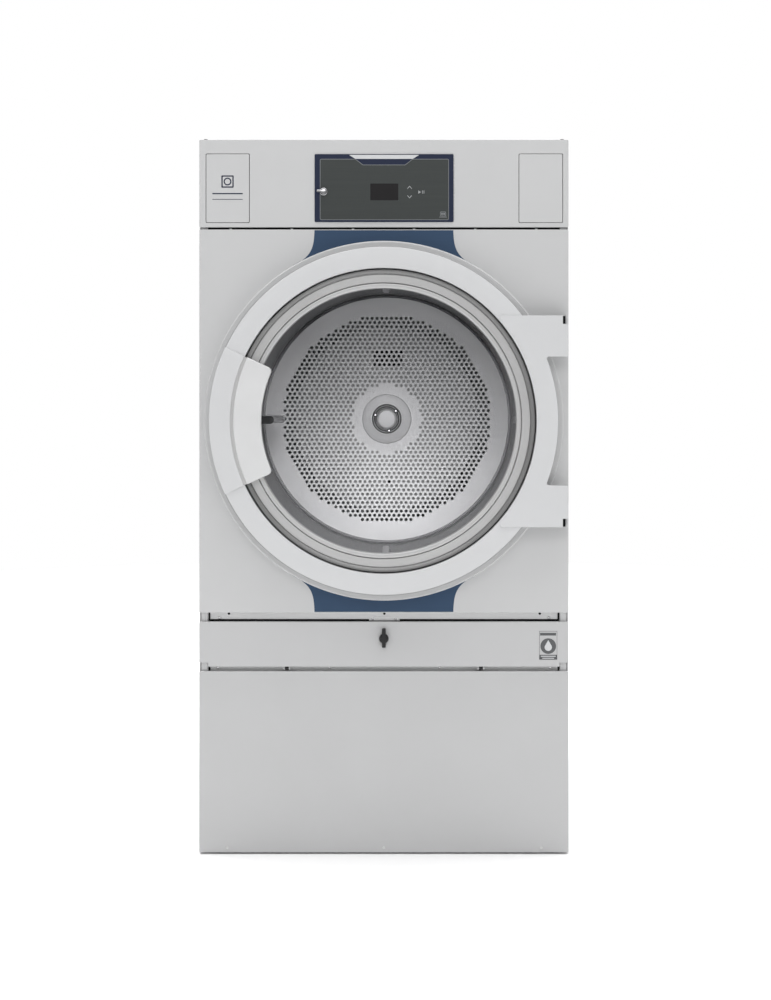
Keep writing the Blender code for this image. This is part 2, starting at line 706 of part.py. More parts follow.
def build_air_path():
    heater = rounded(rectangle(-0.28, 0.28, 1.560, 1.800), CORNER)
    add("heater_box", tray(heater, facing, 0.720, 1.045), "galvanised")

    lint = rounded(rectangle(-0.430, 0.430, 0.503, 0.600), CORNER)
    lint_box = add("lint_box", tray(lint, facing, 0.520, 0.0475), "galvanised")
    cut(
        lint_box,
        box((-0.36, 0.36), (0.12, 0.46), (0.595, 0.605)),
        box((-0.36, 0.36), (0.20, 0.46), (0.498, 0.508)),
    )
    frame = [(-0.425, 0.060), (0.425, 0.060), (0.425, 0.510), (-0.425, 0.510)]
    outer = [(x, FRONT + y) for x, y in frame]
    hollow = rounded(inset(outer, 0.014), 0.004)
    screen = skin([
        level(rounded(outer, 0.004), 0.512),
        level(rounded(outer, 0.004), 0.526),
        level(hollow, 0.526),
        level(hollow, 0.519),
    ])
    add("lint_screen", screen, "mesh")

    housing = [
        (0.095, 0.640), (FAN_R + 0.002, 0.640), (FAN_R + 0.002, 0.861), (0.1055, 0.897), (0.1055, 0.905),
        (0.1035, 0.905), (0.1035, 0.896), (FAN_R, 0.860), (FAN_R, 0.642), (0.095, 0.642),
    ]
    case = add("fan_housing", turned(housing, MID_ROUND, facing, FAN, ring=True), "galvanised")
    join(case, box((FAN[0] - 0.06, FAN[0] + 0.06), (0.70, 0.80), (0.0325, FAN[1] - FAN_R + 0.0005)))

    wheel_origin = (FAN[0], FRONT, FAN[1])
    blades = []
    count = 12
    for i in range(count):
        angle = math.tau * i / count
        out = Vector((math.cos(angle), math.sin(angle)))
        across = Vector((-out.y, out.x)) * 0.0015
        for radius, side in ((0.042, -1), (0.133, -1), (0.133, 1), (0.042, 1)):
            blades.append(tuple(Vector(FAN) + out * radius + across * side))
    impeller = add("fan_impeller", prism(blades, facing, 0.700, 0.798), "steel", wheel_origin)
    hub = [(0.007, 0.596), (0.007, 0.690), (0.030, 0.690), (0.046, 0.794), (0.136, 0.796), (0.136, 0.800)]
    join(impeller, turned(hub, MID_ROUND, facing, FAN))
    body = [
        (0.040, 0.480), (0.055, 0.490), (0.055, 0.600),
        (0.040, 0.610), (0.00713, 0.610), (0.00713, 0.592),
    ]
    motor = add("fan_motor", turned(body, MID_ROUND, facing, FAN), "dark_paint")
    join(motor, box((FAN[0] - 0.045, FAN[0] + 0.045), (0.500, 0.590), (0.0325, FAN[1] - 0.03)))

    wall = EXHAUST_R + 0.002
    outside = DEPTH - 0.0015 + GAP
    collar = [
        (EXHAUST_R, 0.9053), (wall, 0.9053), (wall, outside), (0.118, outside), (0.118, outside + 0.002),
        (wall, outside + 0.002), (wall, EXHAUST_END), (EXHAUST_R, EXHAUST_END),
    ]
    add("exhaust_collar", turned(collar, MID_ROUND, facing, FAN, ring=True), "galvanised")


clear_scene()
MATERIALS.update({name: make_material(name, *values) for name, values in PALETTE.items()})
build_frame()
build_sheets()
build_front_panels()
build_flap()
build_controls()
build_door()
build_drum()
build_drive()
build_air_path()
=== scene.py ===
"""Looks of the commercial tumble dryer: finishes, fine sheet shapes, perforated drum, light and camera.

Metres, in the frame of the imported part: X to the right, Y from the front to the back, Z up from the floor.
"""

import json
import math

import bmesh
import bpy
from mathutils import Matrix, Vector
from mathutils.geometry import delaunay_2d_cdt

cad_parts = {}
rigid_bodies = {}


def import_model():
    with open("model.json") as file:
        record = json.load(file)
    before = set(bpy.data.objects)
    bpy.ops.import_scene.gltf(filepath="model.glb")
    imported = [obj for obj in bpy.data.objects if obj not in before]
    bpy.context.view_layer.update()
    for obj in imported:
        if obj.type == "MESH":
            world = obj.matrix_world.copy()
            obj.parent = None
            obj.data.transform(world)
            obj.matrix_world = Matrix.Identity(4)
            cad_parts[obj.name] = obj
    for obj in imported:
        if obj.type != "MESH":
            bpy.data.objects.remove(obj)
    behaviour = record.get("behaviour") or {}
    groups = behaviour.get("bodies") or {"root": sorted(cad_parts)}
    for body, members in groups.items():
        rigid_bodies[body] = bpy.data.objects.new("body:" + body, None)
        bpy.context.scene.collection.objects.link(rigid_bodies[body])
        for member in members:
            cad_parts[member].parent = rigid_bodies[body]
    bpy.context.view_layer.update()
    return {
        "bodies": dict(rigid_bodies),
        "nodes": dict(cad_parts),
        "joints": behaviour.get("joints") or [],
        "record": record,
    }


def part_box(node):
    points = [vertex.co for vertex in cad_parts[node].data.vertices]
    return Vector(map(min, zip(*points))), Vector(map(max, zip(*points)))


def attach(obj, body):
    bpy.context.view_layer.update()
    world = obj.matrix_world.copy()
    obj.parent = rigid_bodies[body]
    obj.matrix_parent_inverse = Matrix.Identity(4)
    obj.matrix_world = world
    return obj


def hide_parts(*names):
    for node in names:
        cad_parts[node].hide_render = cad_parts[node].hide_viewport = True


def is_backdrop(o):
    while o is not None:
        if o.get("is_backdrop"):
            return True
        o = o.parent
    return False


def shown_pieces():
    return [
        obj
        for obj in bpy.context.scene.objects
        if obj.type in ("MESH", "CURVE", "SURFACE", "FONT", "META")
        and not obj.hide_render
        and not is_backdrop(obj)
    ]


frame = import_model()
NODES = frame["nodes"]
scene = bpy.context.scene


def limits(node, axis):
    """Lowest and highest coordinate of a CAD node along x, y or z."""
    low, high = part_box(node)
    i = "xyz".index(axis)
    return low[i], high[i]


def node_centre(node, axes):
    return tuple(sum(limits(node, axis)) / 2 for axis in axes)


# Main places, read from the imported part
FRONT = limits("lower_panel", "y")[0]
HALF = limits("lower_panel", "x")[1]
AXIS = node_centre("door_ring", "z")[0]
CENTRE = (0.0, AXIS)
DOOR_R = limits("door_ring", "x")[1]
SHELL_R = limits("drum_shell", "x")[1]
FULL, SMALL = 192, 24  # points on a large circle and on a small one
WALL = 0.0015  # thickness of the folded sheets
EDGE = 0.0012  # radius of their outer edges
SHARP = math.radians(38)  # an edge that turns more than this stays sharp
WELD = 1e-6
PRINT, INK = 0.00012, 0.0002  # thickness of a thin print and of a thicker one
GAP = 0.00002  # keeps a print off the face behind it


# Outlines: lists of (u, v), anticlockwise


def mm(*pairs):
    """Pairs that are written in millimetres."""
    return [(a / 1000, b / 1000) for a, b in pairs]


def shifted(points, by):
    return [(u + by[0], v + by[1]) for u, v in points]


def circle(radius, count=FULL, centre=CENTRE, turn=0.0):
    steps = [turn + math.tau * i / count for i in range(count)]
    return [(centre[0] + radius * math.cos(a), centre[1] + radius * math.sin(a)) for a in steps]


def rect(u0, u1, v0, v1):
    return [(u0, v0), (u1, v0), (u1, v1), (u0, v1)]


def arc(centre, radius, start, end, steps):
    """Points on a circle from one angle to the other, in degrees."""
    turns = [math.radians(start + (end - start) * i / steps) for i in range(steps + 1)]
    return [(centre[0] + radius * math.cos(a), centre[1] + radius * math.sin(a)) for a in turns]


def fillet(points, radii, steps=5):
    """The outline with its corners rounded; one radius for all, or one for each corner."""
    if not isinstance(radii, (list, tuple)):
        radii = [radii] * len(points)
    result = []
    for i, (corner, radius) in enumerate(zip(points, radii)):
        here = Vector(corner)
        if radius <= 0:
            result.append(tuple(here))
            continue
        back = (Vector(points[i - 1]) - here).normalized()
        ahead = (Vector(points[(i + 1) % len(points)]) - here).normalized()
        half = back.angle(ahead) / 2
        centre = here + (back + ahead).normalized() * (radius / math.sin(half))
        start = here + back * (radius / math.tan(half)) - centre
        end = here + ahead * (radius / math.tan(half)) - centre
        span = start.angle(end)
        for k in range(steps + 1):
            t = k / steps
            way = (start * math.sin((1 - t) * span) + end * math.sin(t * span)) / math.sin(span)
            result.append(tuple(centre + way))
    return result


def inset(points, amount):
    result = []
    for i, corner in enumerate(points):
        here = Vector(corner)
        before = (here - Vector(points[i - 1])).normalized()
        after = (Vector(points[(i + 1) % len(points)]) - here).normalized()
        first = Vector((-before.y, before.x))
        second = Vector((-after.y, after.x))
        result.append(tuple(here + (first + second) * (amount / (1 + first.dot(second)))))
    return result


def bezier(p0, p1, p2, p3, steps):
    result = []
    for i in range(steps + 1):
        t = i / steps
        w = ((1 - t) ** 3, 3 * t * (1 - t) ** 2, 3 * t * t * (1 - t), t ** 3)
        result.append(tuple(sum(k * p[j] for k, p in zip(w, (p0, p1, p2, p3))) for j in (0, 1)))
    return result


def front_outline(node, radius=0.003, grow=0.0):
    """A CAD node as seen from the front, its corners rounded."""
    low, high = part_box(node)
    return fillet(rect(low.x - grow, high.x + grow, low.z - grow, high.z + grow), radius, 6)


# Placing an outline: parallel to the front, level, or parallel to the sides


def facing(points, depth):
    return [(u, FRONT + depth, v) for u, v in points]


def level(points, z):
    return [(u, v, z) for u, v in points]


def upright(points, x):
    return [(x, u, v) for u, v in points]


# Mesh building

new = bmesh.new


def strip(bm, rows, ring=False, caps=""):
    """Faces through rows of points; caps names the ends to close: s(tart), e(nd)."""
    verts = [[bm.verts.new(p) for p in row] for row in rows]
    pairs = list(zip(verts, verts[1:]))
    if ring:
        pairs.append((verts[-1], verts[0]))
    count = len(verts[0])
    for a, b in pairs:
        for i in range(count):
            j = (i + 1) % count
            bm.faces.new((a[i], a[j], b[j], b[i]))
    if "s" in caps:
        bm.faces.new(verts[0])
    if "e" in caps:
        bm.faces.new(verts[-1])


def inside(point, loop):
    x, y = point
    odd = False
    for (x0, y0), (x1, y1) in zip(loop, loop[1:] + loop[:1]):
        if (y0 > y) != (y1 > y) and x < (x1 - x0) * (y - y0) / (y1 - y0) + x0:
            odd = not odd
    return odd


def web(bm, outer, holes, place, depth):
    """A flat face with holes."""
    coords, edges = [], []
    for loop in [outer, *holes]:
        first = len(coords)
        coords += [Vector(p) for p in loop]
        edges += [(first + i, first + (i + 1) % len(loop)) for i in range(len(loop))]
    points, _, faces, *_ = delaunay_2d_cdt(coords, edges, [], 0, 1e-7)
    verts = {}
    for face in faces:
        middle = sum((points[i] for i in face), Vector((0.0, 0.0))) / len(face)
        if not inside(middle, outer) or any(inside(middle, hole) for hole in holes):
            continue
        for i in face:
            if i not in verts:
                verts[i] = bm.verts.new(place([points[i]], depth)[0])
        bm.faces.new([verts[i] for i in face])


def plate(bm, outline, holes, near, far, place=facing):
    """A flat piece with square edges and holes through it."""
    for loop in (outline, *holes):
        strip(bm, [place(loop, near), place(loop, far)])
    for depth in (near, far):
        web(bm, outline, holes, place, depth)


def edge_rows(outline, radius, depth, side=1, steps=4, place=facing):
    """Rows that round an edge over from the front face to the side."""
    rows = []
    for i in range(steps + 1):
        t = math.pi / 2 * i / steps
        row = inset(outline, side * radius * (1 - math.sin(t)))
        rows.append(place(row, depth + radius * (1 - math.cos(t))))
    return rows


def folded_edge(bm, outline, back):
    """The rounded edge of a front sheet, its return to the back, and the inside of that return."""
    inner = inset(outline, WALL)
    rows = edge_rows(outline, EDGE, 0.0)
    strip(bm, [*rows, facing(outline, back), facing(inner, back), facing(inner, WALL)])


def sheet(bm, outline, holes, back, lip=0.0045, hole_radius=0.0008):
    """A folded front sheet: rounded edges and returns outside, rounded lips in its holes."""
    folded_edge(bm, outline, back)
    for hole in holes:
        inner = inset(hole, -WALL)
        rows = edge_rows(hole, hole_radius, 0.0, -1)
        strip(bm, [*rows, facing(hole, lip), facing(inner, lip), facing(inner, WALL)])
    web(bm, inset(outline, EDGE), [inset(hole, -hole_radius) for hole in holes], facing, 0.0)
    web(bm, inset(outline, WALL), [inset(hole, -WALL) for hole in holes], facing, WALL)


def slab(bm, outline, depth, back, radius=0.0005, steps=3, both=False):
    """A plate with its front edge rounded, or both of its edges."""
    rows = edge_rows(outline, radius, depth, 1, steps)
    if both:
        rear = edge_rows(outline, radius, 0.0, 1, steps, lambda points, d: facing(points, back - d))
        rows += rear[::-1]
    else:
        rows.append(facing(outline, back))
    strip(bm, rows)
    web(bm, inset(outline, radius), [], facing, depth)
    web(bm, inset(outline, radius) if both else outline, [], facing, back)


def lathe(bm, profile, count=FULL, centre=CENTRE, ring=True, place=facing):
    """A round piece from (radius, depth) pairs; a ring closes on itself."""
    rows = [place(circle(r, count, centre), d) for r, d in profile]
    strip(bm, rows, ring, "" if ring else "se")


def block(bm, x, y, z, radius=0.0004):
    slab(bm, fillet(rect(*x, *z), radius, 3), y[0], y[1], radius, 2, both=True)


def make(name, bm, body, material, replaces=(), even=False):
    """Turns a bmesh into a piece that rides on a body and stands for CAD nodes."""
    bmesh.ops.remove_doubles(bm, verts=bm.verts, dist=WELD)
    bmesh.ops.delete(bm, geom=[v for v in bm.verts if not v.link_faces], context="VERTS")
    bmesh.ops.recalc_face_normals(bm, faces=bm.faces)
    for face in bm.faces:
        face.smooth = True
    for edge in bm.edges:
        edge.smooth = len(edge.link_faces) == 2 and edge.calc_face_angle(0.0) < SHARP
    data = bpy.data.meshes.new(name)
    bm.to_mesh(data)
    bm.free()
    data.materials.append(material)
    piece = bpy.data.objects.new(name, data)
    scene.collection.objects.link(piece)
    if even:
        step = piece.modifiers.new("even", "WEIGHTED_NORMAL")
        step.keep_sharp = True
    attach(piece, body)
    if replaces:
        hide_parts(*replaces)
    return piece


def ring_piece(name, profile, body, material, replaces=()):
    """A piece that is one turned ring round the axis of the drum."""
    bm = new()
    lathe(bm, profile)
    make(name, bm, body, material, replaces)


# Finishes


class Finish:
    """A node material on one Principled shader, textured by the place on the object."""

    def __init__(self, name, colour, roughness, metallic=0.0, **extra):
        self.material = bpy.data.materials.new(name)
        self.material.use_nodes = True
        self.tree = self.material.node_tree
        self.shader = self.tree.nodes["Principled BSDF"]
        self.colour = colour
        self.roughness = roughness
        self.set("Base Color", (*colour, 1.0))
        self.set("Roughness", roughness)
        self.set("Metallic", metallic)
        for key, value in extra.items():
            self.set(key.replace("_", " "), value)
        self.place = self.node("ShaderNodeTexCoord").outputs["Object"]

    def set(self, socket, value):
        self.shader.inputs[socket].default_value = value

    def node(self, kind, **values):
        made = self.tree.nodes.new(kind)
        for key, value in values.items():
            if key in made.inputs:
                made.inputs[key].default_value = value
            else:
                setattr(made, key, value)
        return made

    def link(self, source, target):
        self.tree.links.new(source, target)

    def stretched(self, scale):
        mapping = self.node("ShaderNodeMapping")
        mapping.inputs["Scale"].default_value = scale
        self.link(self.place, mapping.inputs["Vector"])
        return mapping.outputs["Vector"]

    def noise(self, scale, detail=2.0, rough=0.5, stretch=None):
        made = self.node("ShaderNodeTexNoise", Scale=scale, Detail=detail, Roughness=rough)
        self.link(self.stretched(stretch) if stretch else self.place, made.inputs["Vector"])
        return made.outputs["Fac"]

    def cells(self, scale):
        made = self.node("ShaderNodeTexVoronoi", Scale=scale)
        self.link(self.place, made.inputs["Vector"])
        return made.outputs["Color"]

    def spread(self, source, low, high):
        made = self.node("ShaderNodeMapRange")
        made.inputs["From Min"].default_value = 0.25
        made.inputs["From Max"].default_value = 0.75
        made.inputs["To Min"].default_value = low
        made.inputs["To Max"].default_value = high
        self.link(source, made.inputs["Value"])
        return made.outputs["Result"]

    def vary_colour(self, source, amount, other=None):
        """Base colour between the plain one and another one, or a slightly darker one."""
        mix = self.node("ShaderNodeMix", data_type="RGBA")
        other = other or tuple(c * (1 - amount) for c in self.colour)
        mix.inputs[6].default_value = (*self.colour, 1.0)
        mix.inputs[7].default_value = (*other, 1.0)
        self.link(self.spread(source, 0.0, 1.0), mix.inputs["Factor"])
        self.link(mix.outputs[2], self.shader.inputs["Base Color"])

    def vary_roughness(self, source, amount):
        value = self.spread(source, self.roughness - amount, self.roughness + amount)
        self.link(value, self.shader.inputs["Roughness"])

    def bump(self, source, strength, distance):
        made = self.node("ShaderNodeBump", Strength=strength, Distance=distance)
        self.link(source, made.inputs["Height"])
        self.link(made.outputs["Normal"], self.shader.inputs["Normal"])


def powder_coat(name, colour, roughness=0.42, metallic=0.0):
    made = Finish(name, colour, roughness, metallic)
    made.vary_colour(made.noise(5.0, 3.0), 0.025)
    made.vary_roughness(made.noise(9.0, 3.0), 0.03)
    made.bump(made.noise(900.0, 2.0), 0.05, 0.0003)
    return made.material


def sheet_steel(name, colour, roughness, stretch=(1.0, 1.0, 1.0), metallic=1.0, grain=0.06, relief=0.03):
    """Rolled steel; stretch draws its grain out along an axis."""
    made = Finish(name, colour, roughness, metallic)
    made.vary_colour(made.noise(7.0, 4.0), 0.06)
    made.vary_roughness(made.noise(220.0, 3.0, 0.6, stretch), grain)
    made.bump(made.noise(420.0, 2.0, 0.5, stretch), relief, 0.0002)
    return made.material


def galvanised(name, colour):
    made = Finish(name, colour, 0.42, 0.85)
    made.vary_colour(made.cells(70.0), 0.22)
    made.vary_roughness(made.cells(70.0), 0.07)
    made.bump(made.noise(300.0, 2.0), 0.03, 0.0002)
    return made.material


def moulded(name, colour, roughness, grain=0.12, scale=700.0, shine=0.5):
    made = Finish(name, colour, roughness, Specular_IOR_Level=shine)
    made.vary_colour(made.noise(12.0, 3.0), 0.05)
    made.vary_roughness(made.noise(40.0, 3.0), 0.04)
    made.bump(made.noise(scale, 2.0), grain, 0.0003)
    return made.material


def film(name, colour, roughness, other=None, shine=0.3):
    """Printed film with a very fine horizontal weave."""
    made = Finish(name, colour, roughness, Specular_IOR_Level=shine)
    made.vary_colour(made.noise(1.0, 3.0, 0.6, (4.0, 4.0, 900.0)), 0.08, other)
    made.vary_roughness(made.noise(14.0, 3.0), 0.03)
    return made.material


PAINT = powder_coat("panel_paint", (0.53, 0.533, 0.537), 0.38)
PAINT_LOW = powder_coat("lower_panel_paint", (0.475, 0.477, 0.481), 0.33, 0.25)
PAINT_FLAP = powder_coat("flap_paint", (0.49, 0.492, 0.497), 0.38)
PAINT_DOOR = powder_coat("door_paint", (0.58, 0.585, 0.594), 0.38)
PAINT_DARK = powder_coat("motor_enamel", (0.045, 0.047, 0.052), 0.38)
GRIP = moulded("grip_plastic", (0.625, 0.628, 0.632), 0.36, 0.05, 500.0)
BEZEL = sheet_steel("bezel_steel", (0.56, 0.56, 0.56), 0.36, metallic=0.55)
# Darker paint of the ring frame: painted shade for the dark line round the outer edge of the door ring.
RIM_SHADE_PAINT = powder_coat("rim_paint", (0.33, 0.33, 0.335), 0.42)
TRIM = sheet_steel("trim_steel", (0.62, 0.62, 0.62), 0.32, metallic=0.7)
DRUM = sheet_steel("drum_steel", (0.27, 0.27, 0.28), 0.5, (1.0, 0.05, 1.0), 0.3)
BAFFLE = sheet_steel("baffle_steel", (0.5, 0.5, 0.505), 0.65, metallic=0.1, relief=0.01)
# Dark steel of the rim groove: painted shade in the groove between the drum back and the wall.
GROOVE_SHADE = sheet_steel("groove_shade_steel", (0.24, 0.24, 0.25), 0.5, metallic=0.3)
SLEEVE = sheet_steel("sleeve_steel", (0.26, 0.26, 0.26), 0.4, metallic=0.5)
# Dark steel of the roll inside the door ring: partly painted shade for the dark gap between the ring and the
# window frame.
ROLL_SHADE = sheet_steel("roll_shade_steel", (0.22, 0.22, 0.22), 0.4, metallic=0.4)
# Near-white paint of the recessed rails: painted light that lifts them out of the shade they stand in.
RAIL_LIGHTENED = powder_coat("rail_paint", (0.8, 0.8, 0.805), 0.38)
DISH = sheet_steel("drum_back_steel", (0.7, 0.7, 0.715), 0.46, metallic=0.25, relief=0.01)
STEEL = sheet_steel("bright_steel", (0.62, 0.62, 0.63), 0.26)
ZINC = galvanised("galvanised_sheet", (0.52, 0.53, 0.54))
BLACK = moulded("black_plastic", (0.016, 0.016, 0.017), 0.42, shine=0.3)
CAP = moulded("dark_grey_plastic", (0.075, 0.076, 0.079), 0.45)
RUBBER = moulded("rubber", (0.016, 0.016, 0.017), 0.75, 0.2, 260.0)
NAVY = film("navy_film", (0.018, 0.024, 0.05), 0.36, shine=0.15)
BLUE = film("blue_film", (0.038, 0.069, 0.124), 0.36, (0.035, 0.064, 0.116), shine=0.15)
FIELD = film("control_film", (0.052, 0.057, 0.056), 0.36, (0.044, 0.049, 0.048), shine=0.15)
SCREEN = film("display_window", (0.02, 0.019, 0.02), 0.22, shine=0.12)
WHITE_INK = moulded("white_ink", (0.58, 0.59, 0.6), 0.4, 0.02)
SOFT_INK = moulded("soft_ink", (0.36, 0.37, 0.38), 0.4, 0.02)
GREY_INK = moulded("grey_ink", (0.2, 0.21, 0.22), 0.4, 0.02)
BADGE = moulded("badge_ink", (0.085, 0.088, 0.092), 0.4, 0.02)
CHROME = sheet_steel("chrome", (0.42, 0.42, 0.43), 0.16, grain=0.02)
MESH = sheet_steel("screen_wire", (0.55, 0.55, 0.56), 0.35)
SHADOW = moulded("shadow_gap", (0.008, 0.008, 0.009), 0.6, shine=0.1)

clear = Finish("door_glass", (0.02, 0.023, 0.024), 0.03, Alpha=0.05)
clear.link(clear.spread(clear.noise(6.0, 3.0), 0.04, 0.06), clear.shader.inputs["Alpha"])
clear.vary_roughness(clear.noise(18.0, 3.0), 0.015)
GLASS = clear.material


# Screws: a low dome with a six-pointed recess


def screw(bm, centre, depth, radius, height, sign):
    dome = [(1.0, 0.0), (0.97, 0.45), (0.8, 0.8), (0.58, 0.97), (0.52, 1.0)]
    rows = [facing(circle(radius * r, SMALL, centre), depth + sign * height * h) for r, h in dome]
    star = []
    for i in range(SMALL):
        a = math.tau * i / SMALL
        r = radius * (0.4 + 0.08 * math.cos(6 * a))
        star.append((centre[0] + r * math.cos(a), centre[1] + r * math.sin(a)))
    rows += [facing(star, depth + sign * height * h) for h in (1.0, 0.3)]
    strip(bm, rows, caps="se")


def screws(name, material, places, depth, radius, height, body="cabinet", sign=-1):
    """A set of equal screws as one piece."""
    bm = new()
    for place in places:
        screw(bm, place, depth, radius, height, sign)
    make(name, bm, body, material)


# The cabinet


def build_cabinet():
    skin, lip = 0.002, 0.0015  # thickness of a side panel and of its flanges
    fold = FRONT + 0.0183
    for side, sign in (("left", -1), ("right", 1)):
        node = f"side_panel_{side}"
        low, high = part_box(node)
        inner, out = sorted((low.x, high.x), key=abs)
        bend = out - sign * skin
        y0, y1 = low.y, high.y
        outline = fillet([
            (out, y0), (out, y1), (inner, y1), (inner, y1 - lip), (bend, y1 - lip), (bend, fold + lip),
            (inner, fold + lip), (inner, fold), (bend, fold), (bend, y0),
        ], [0.0006, 0.0035, 0.0003, 0.0003, 0.002, 0.002, 0.0003, 0.0003, 0.0003, 0.0006], 4)
        bm = new()
        plate(bm, outline, [], low.z, high.z, level)
        make(f"cabinet_{node}", bm, "cabinet", PAINT, [node], even=True)

    # The node of the top panel includes two plugs, which stand over the sheet.
    low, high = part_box("top_panel")
    top = high.z - 0.004
    under = top - 0.0024
    cover = fillet(rect(low.x, high.x, low.y, high.y), 0.004, 6)
    bm = new()
    rows = edge_rows(cover, 0.0014, 0.0, 1, 4, lambda points, d: level(points, top - d))
    strip(bm, [*rows, level(cover, under), level(inset(cover, 0.006), under)], caps="se")
    make("cabinet_top", bm, "cabinet", PAINT, ["top_panel"], even=True)
    bm = new()
    for x in (-0.465, 0.465):
        plug = [(0.005, top), (0.005, top + 0.0033), (0.0044, top + 0.0039), (0.001, top + 0.004)]
        lathe(bm, plug, SMALL, (x, FRONT + 0.0165), False, level)
    make("top_plugs", bm, "cabinet", BLACK)

    low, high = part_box("rear_panel")
    back = high.y - FRONT
    slots = [
        fillet(rect(x - 0.06, x + 0.06, 1.6 + 0.03 * row, 1.61 + 0.03 * row), 0.0045)
        for row in range(6) for x in (-0.16, 0.0, 0.16)
    ]
    exhaust = circle(0.104, 96, node_centre("exhaust_collar", "xz"))
    gland = circle(0.0125, 32, node_centre("cable_gland", "xz"))
    bm = new()
    outline = fillet(rect(low.x, high.x, low.z, high.z), 0.004)
    plate(bm, outline, [exhaust, gland, *slots], back, back - 0.0017)
    make("rear_sheet", bm, "cabinet", ZINC, ["rear_panel"])
    places = [(x, z) for z in (0.11, 0.45, 0.8, 1.15, 1.5, 1.82) for x in (-0.467, 0.467)]
    places += [(x, z) for x in (-0.3, -0.1, 0.1, 0.3) for z in (1.826, 0.104)]
    screws("rear_screws", CHROME, places, back, 0.0046, 0.0016, sign=1)

    for node in ("foot_front_left", "foot_front_right", "foot_rear_left", "foot_rear_right"):
        foot = mm((24.5, 0), (26, 1.5), (26, 6.5), (24.5, 8), (13.5, 11.5), (12, 12), (8, 12))
        bm = new()
        lathe(bm, [*foot, (0.008, limits(node, "z")[1])], 48, node_centre(node, "xy"), False, level)
        make(f"levelling_{node}", bm, "cabinet", BLACK, [node])


# The front panels


def build_front():
    bm = new()
    sheet(bm, front_outline("lower_panel"), [], limits("lower_panel", "y")[1] - FRONT)
    make("lower_door_sheet", bm, "cabinet", PAINT_LOW, ["lower_panel"], even=True)
    screws("lower_screws", TRIM, [(x, 0.0166) for x in (-0.407, 0.0, 0.409)], 0.0, 0.004, 0.0014)

    # Main panel: a flat sheet with a raised round collar and the opening in it.
    low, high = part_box("front_panel")
    proud = low.y - FRONT
    collar, opening = 0.4705, 0.365
    rise = fillet(
        [(0.475, 0.0), (0.467, 0.0), (0.4645, proud), (0.3625, proud), (0.3625, WALL), (opening, WALL)],
        [0.0, 0.0022, 0.0018, 0.0012, 0.0, 0.0],
    )
    rise[0] = (collar, 0.0)
    outline = front_outline("front_panel")
    bm = new()
    folded_edge(bm, outline, high.y - FRONT)
    web(bm, inset(outline, EDGE), [circle(collar)], facing, 0.0)
    web(bm, inset(outline, WALL), [circle(opening)], facing, WALL)
    strip(bm, [facing(circle(r), d) for r, d in rise])
    make("front_sheet", bm, "cabinet", PAINT, ["front_panel"], even=True)

    # Blue films that flare out to the collar, above and below the door.
    reach, tip, across = 0.4676, 0.2385, 48
    angle = math.asin(tip / reach)
    for name, edge_z, sign in (("decal_top", high.z - 0.0018, 1), ("decal_bottom", low.z + 0.0018, -1)):
        foot = AXIS + sign * math.sqrt(reach**2 - tip**2)
        span = sign * abs(edge_z - foot)
        bends = (0.1818, edge_z - span * 0.49), (0.187, edge_z - span * 0.75)
        side = bezier((0.1805, edge_z), *bends, (tip, foot), 18)
        turns = [angle - 2 * angle * i / across for i in range(1, across)]
        under = [(reach * math.sin(a), AXIS + sign * reach * math.cos(a)) for a in turns]
        loop = side + under + [(-x, z) for x, z in side[::-1]]
        bm = new()
        plate(bm, loop[::-sign], [], -0.00022, -0.00004)
        make(name, bm, "cabinet", BLUE)

    tunnel = mm(
        (360, -3), (360.4, -3.5), (361.2, -3.5), (361.7, -3), (361.7, 1.8), (385, 1.8), (385, 3.5),
        (361.7, 3.5), (361.7, 87.6), (361.2, 88), (360.4, 88), (360, 87.6),
    )
    ring_piece("loading_sleeve", tunnel, "cabinet", SLEEVE, ["loading_tunnel"])


def build_fascia():
    low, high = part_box("control_lid")
    window = rect(low.x + 0.002, high.x - 0.001, low.z + 0.002, high.z - 0.002)
    holes = [fillet(window, 0.003, 6)]
    for side in ("left", "right"):
        node = f"cover_plate_{side}"
        holes.append(front_outline(node, 0.0035, 0.0011))
        bm = new()
        slab(bm, front_outline(node, 0.003, -0.0003), 0.0, WALL, 0.0006, 4)
        make(f"cover_sheet_{side}", bm, "cabinet", PAINT, [node], even=True)
        # Painted shade: a near-black plate behind the gap round the cover plate.
        bm = new()
        slab(bm, front_outline(node, 0.0, 0.004), 0.0062, 0.0072, 0.0002, 1)
        make(f"cover_gap_shade_{side}", bm, "cabinet", SHADOW)

    # A plain care symbol, a circle in a square, over two short rules.
    bm = new()
    x, z, half = -0.4064, 1.748, 0.016
    outline_ring(bm, fillet(rect(x - half, x + half, z - half, z + half), 0.0016, 3), 0.0034, 0.0)
    outline_ring(bm, circle(0.0102, 48, (x, z)), 0.0032, 0.0)
    for z0, z1 in ((1.715, 1.7182), (1.701, 1.7026)):
        print_shape(bm, rect(x - 0.0395, x + 0.0395, z0, z1), 0.0)
    make("care_symbol", bm, "cabinet", NAVY)

    low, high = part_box("top_fascia")
    bm = new()
    sheet(bm, front_outline("top_fascia"), holes, high.y - FRONT)
    make("fascia_sheet", bm, "cabinet", PAINT, ["top_fascia"], even=True)

    # Seam under the fascia: a near-black strip of painted shade in its recess, with six small light tabs in
    # it.
    seam = (limits("front_panel", "z")[1], low.z)
    bm = new()
    block(bm, (-0.4585, 0.4585), (0.011, 0.0125), (seam[0] - 0.004, seam[1] + 0.004), 0.0002)
    make("seam_gap_shade", bm, "cabinet", SHADOW)
    bm = new()
    for i in range(6):
        x = -0.3985 + 0.159 * i
        block(bm, (x - 0.003, x + 0.003), (0.0022, 0.01), (seam[0] + 0.0003, seam[0] + 0.0022), 0.0002)
    make("seam_tabs", bm, "cabinet", PAINT)


# Prints, then the control lid and its lock


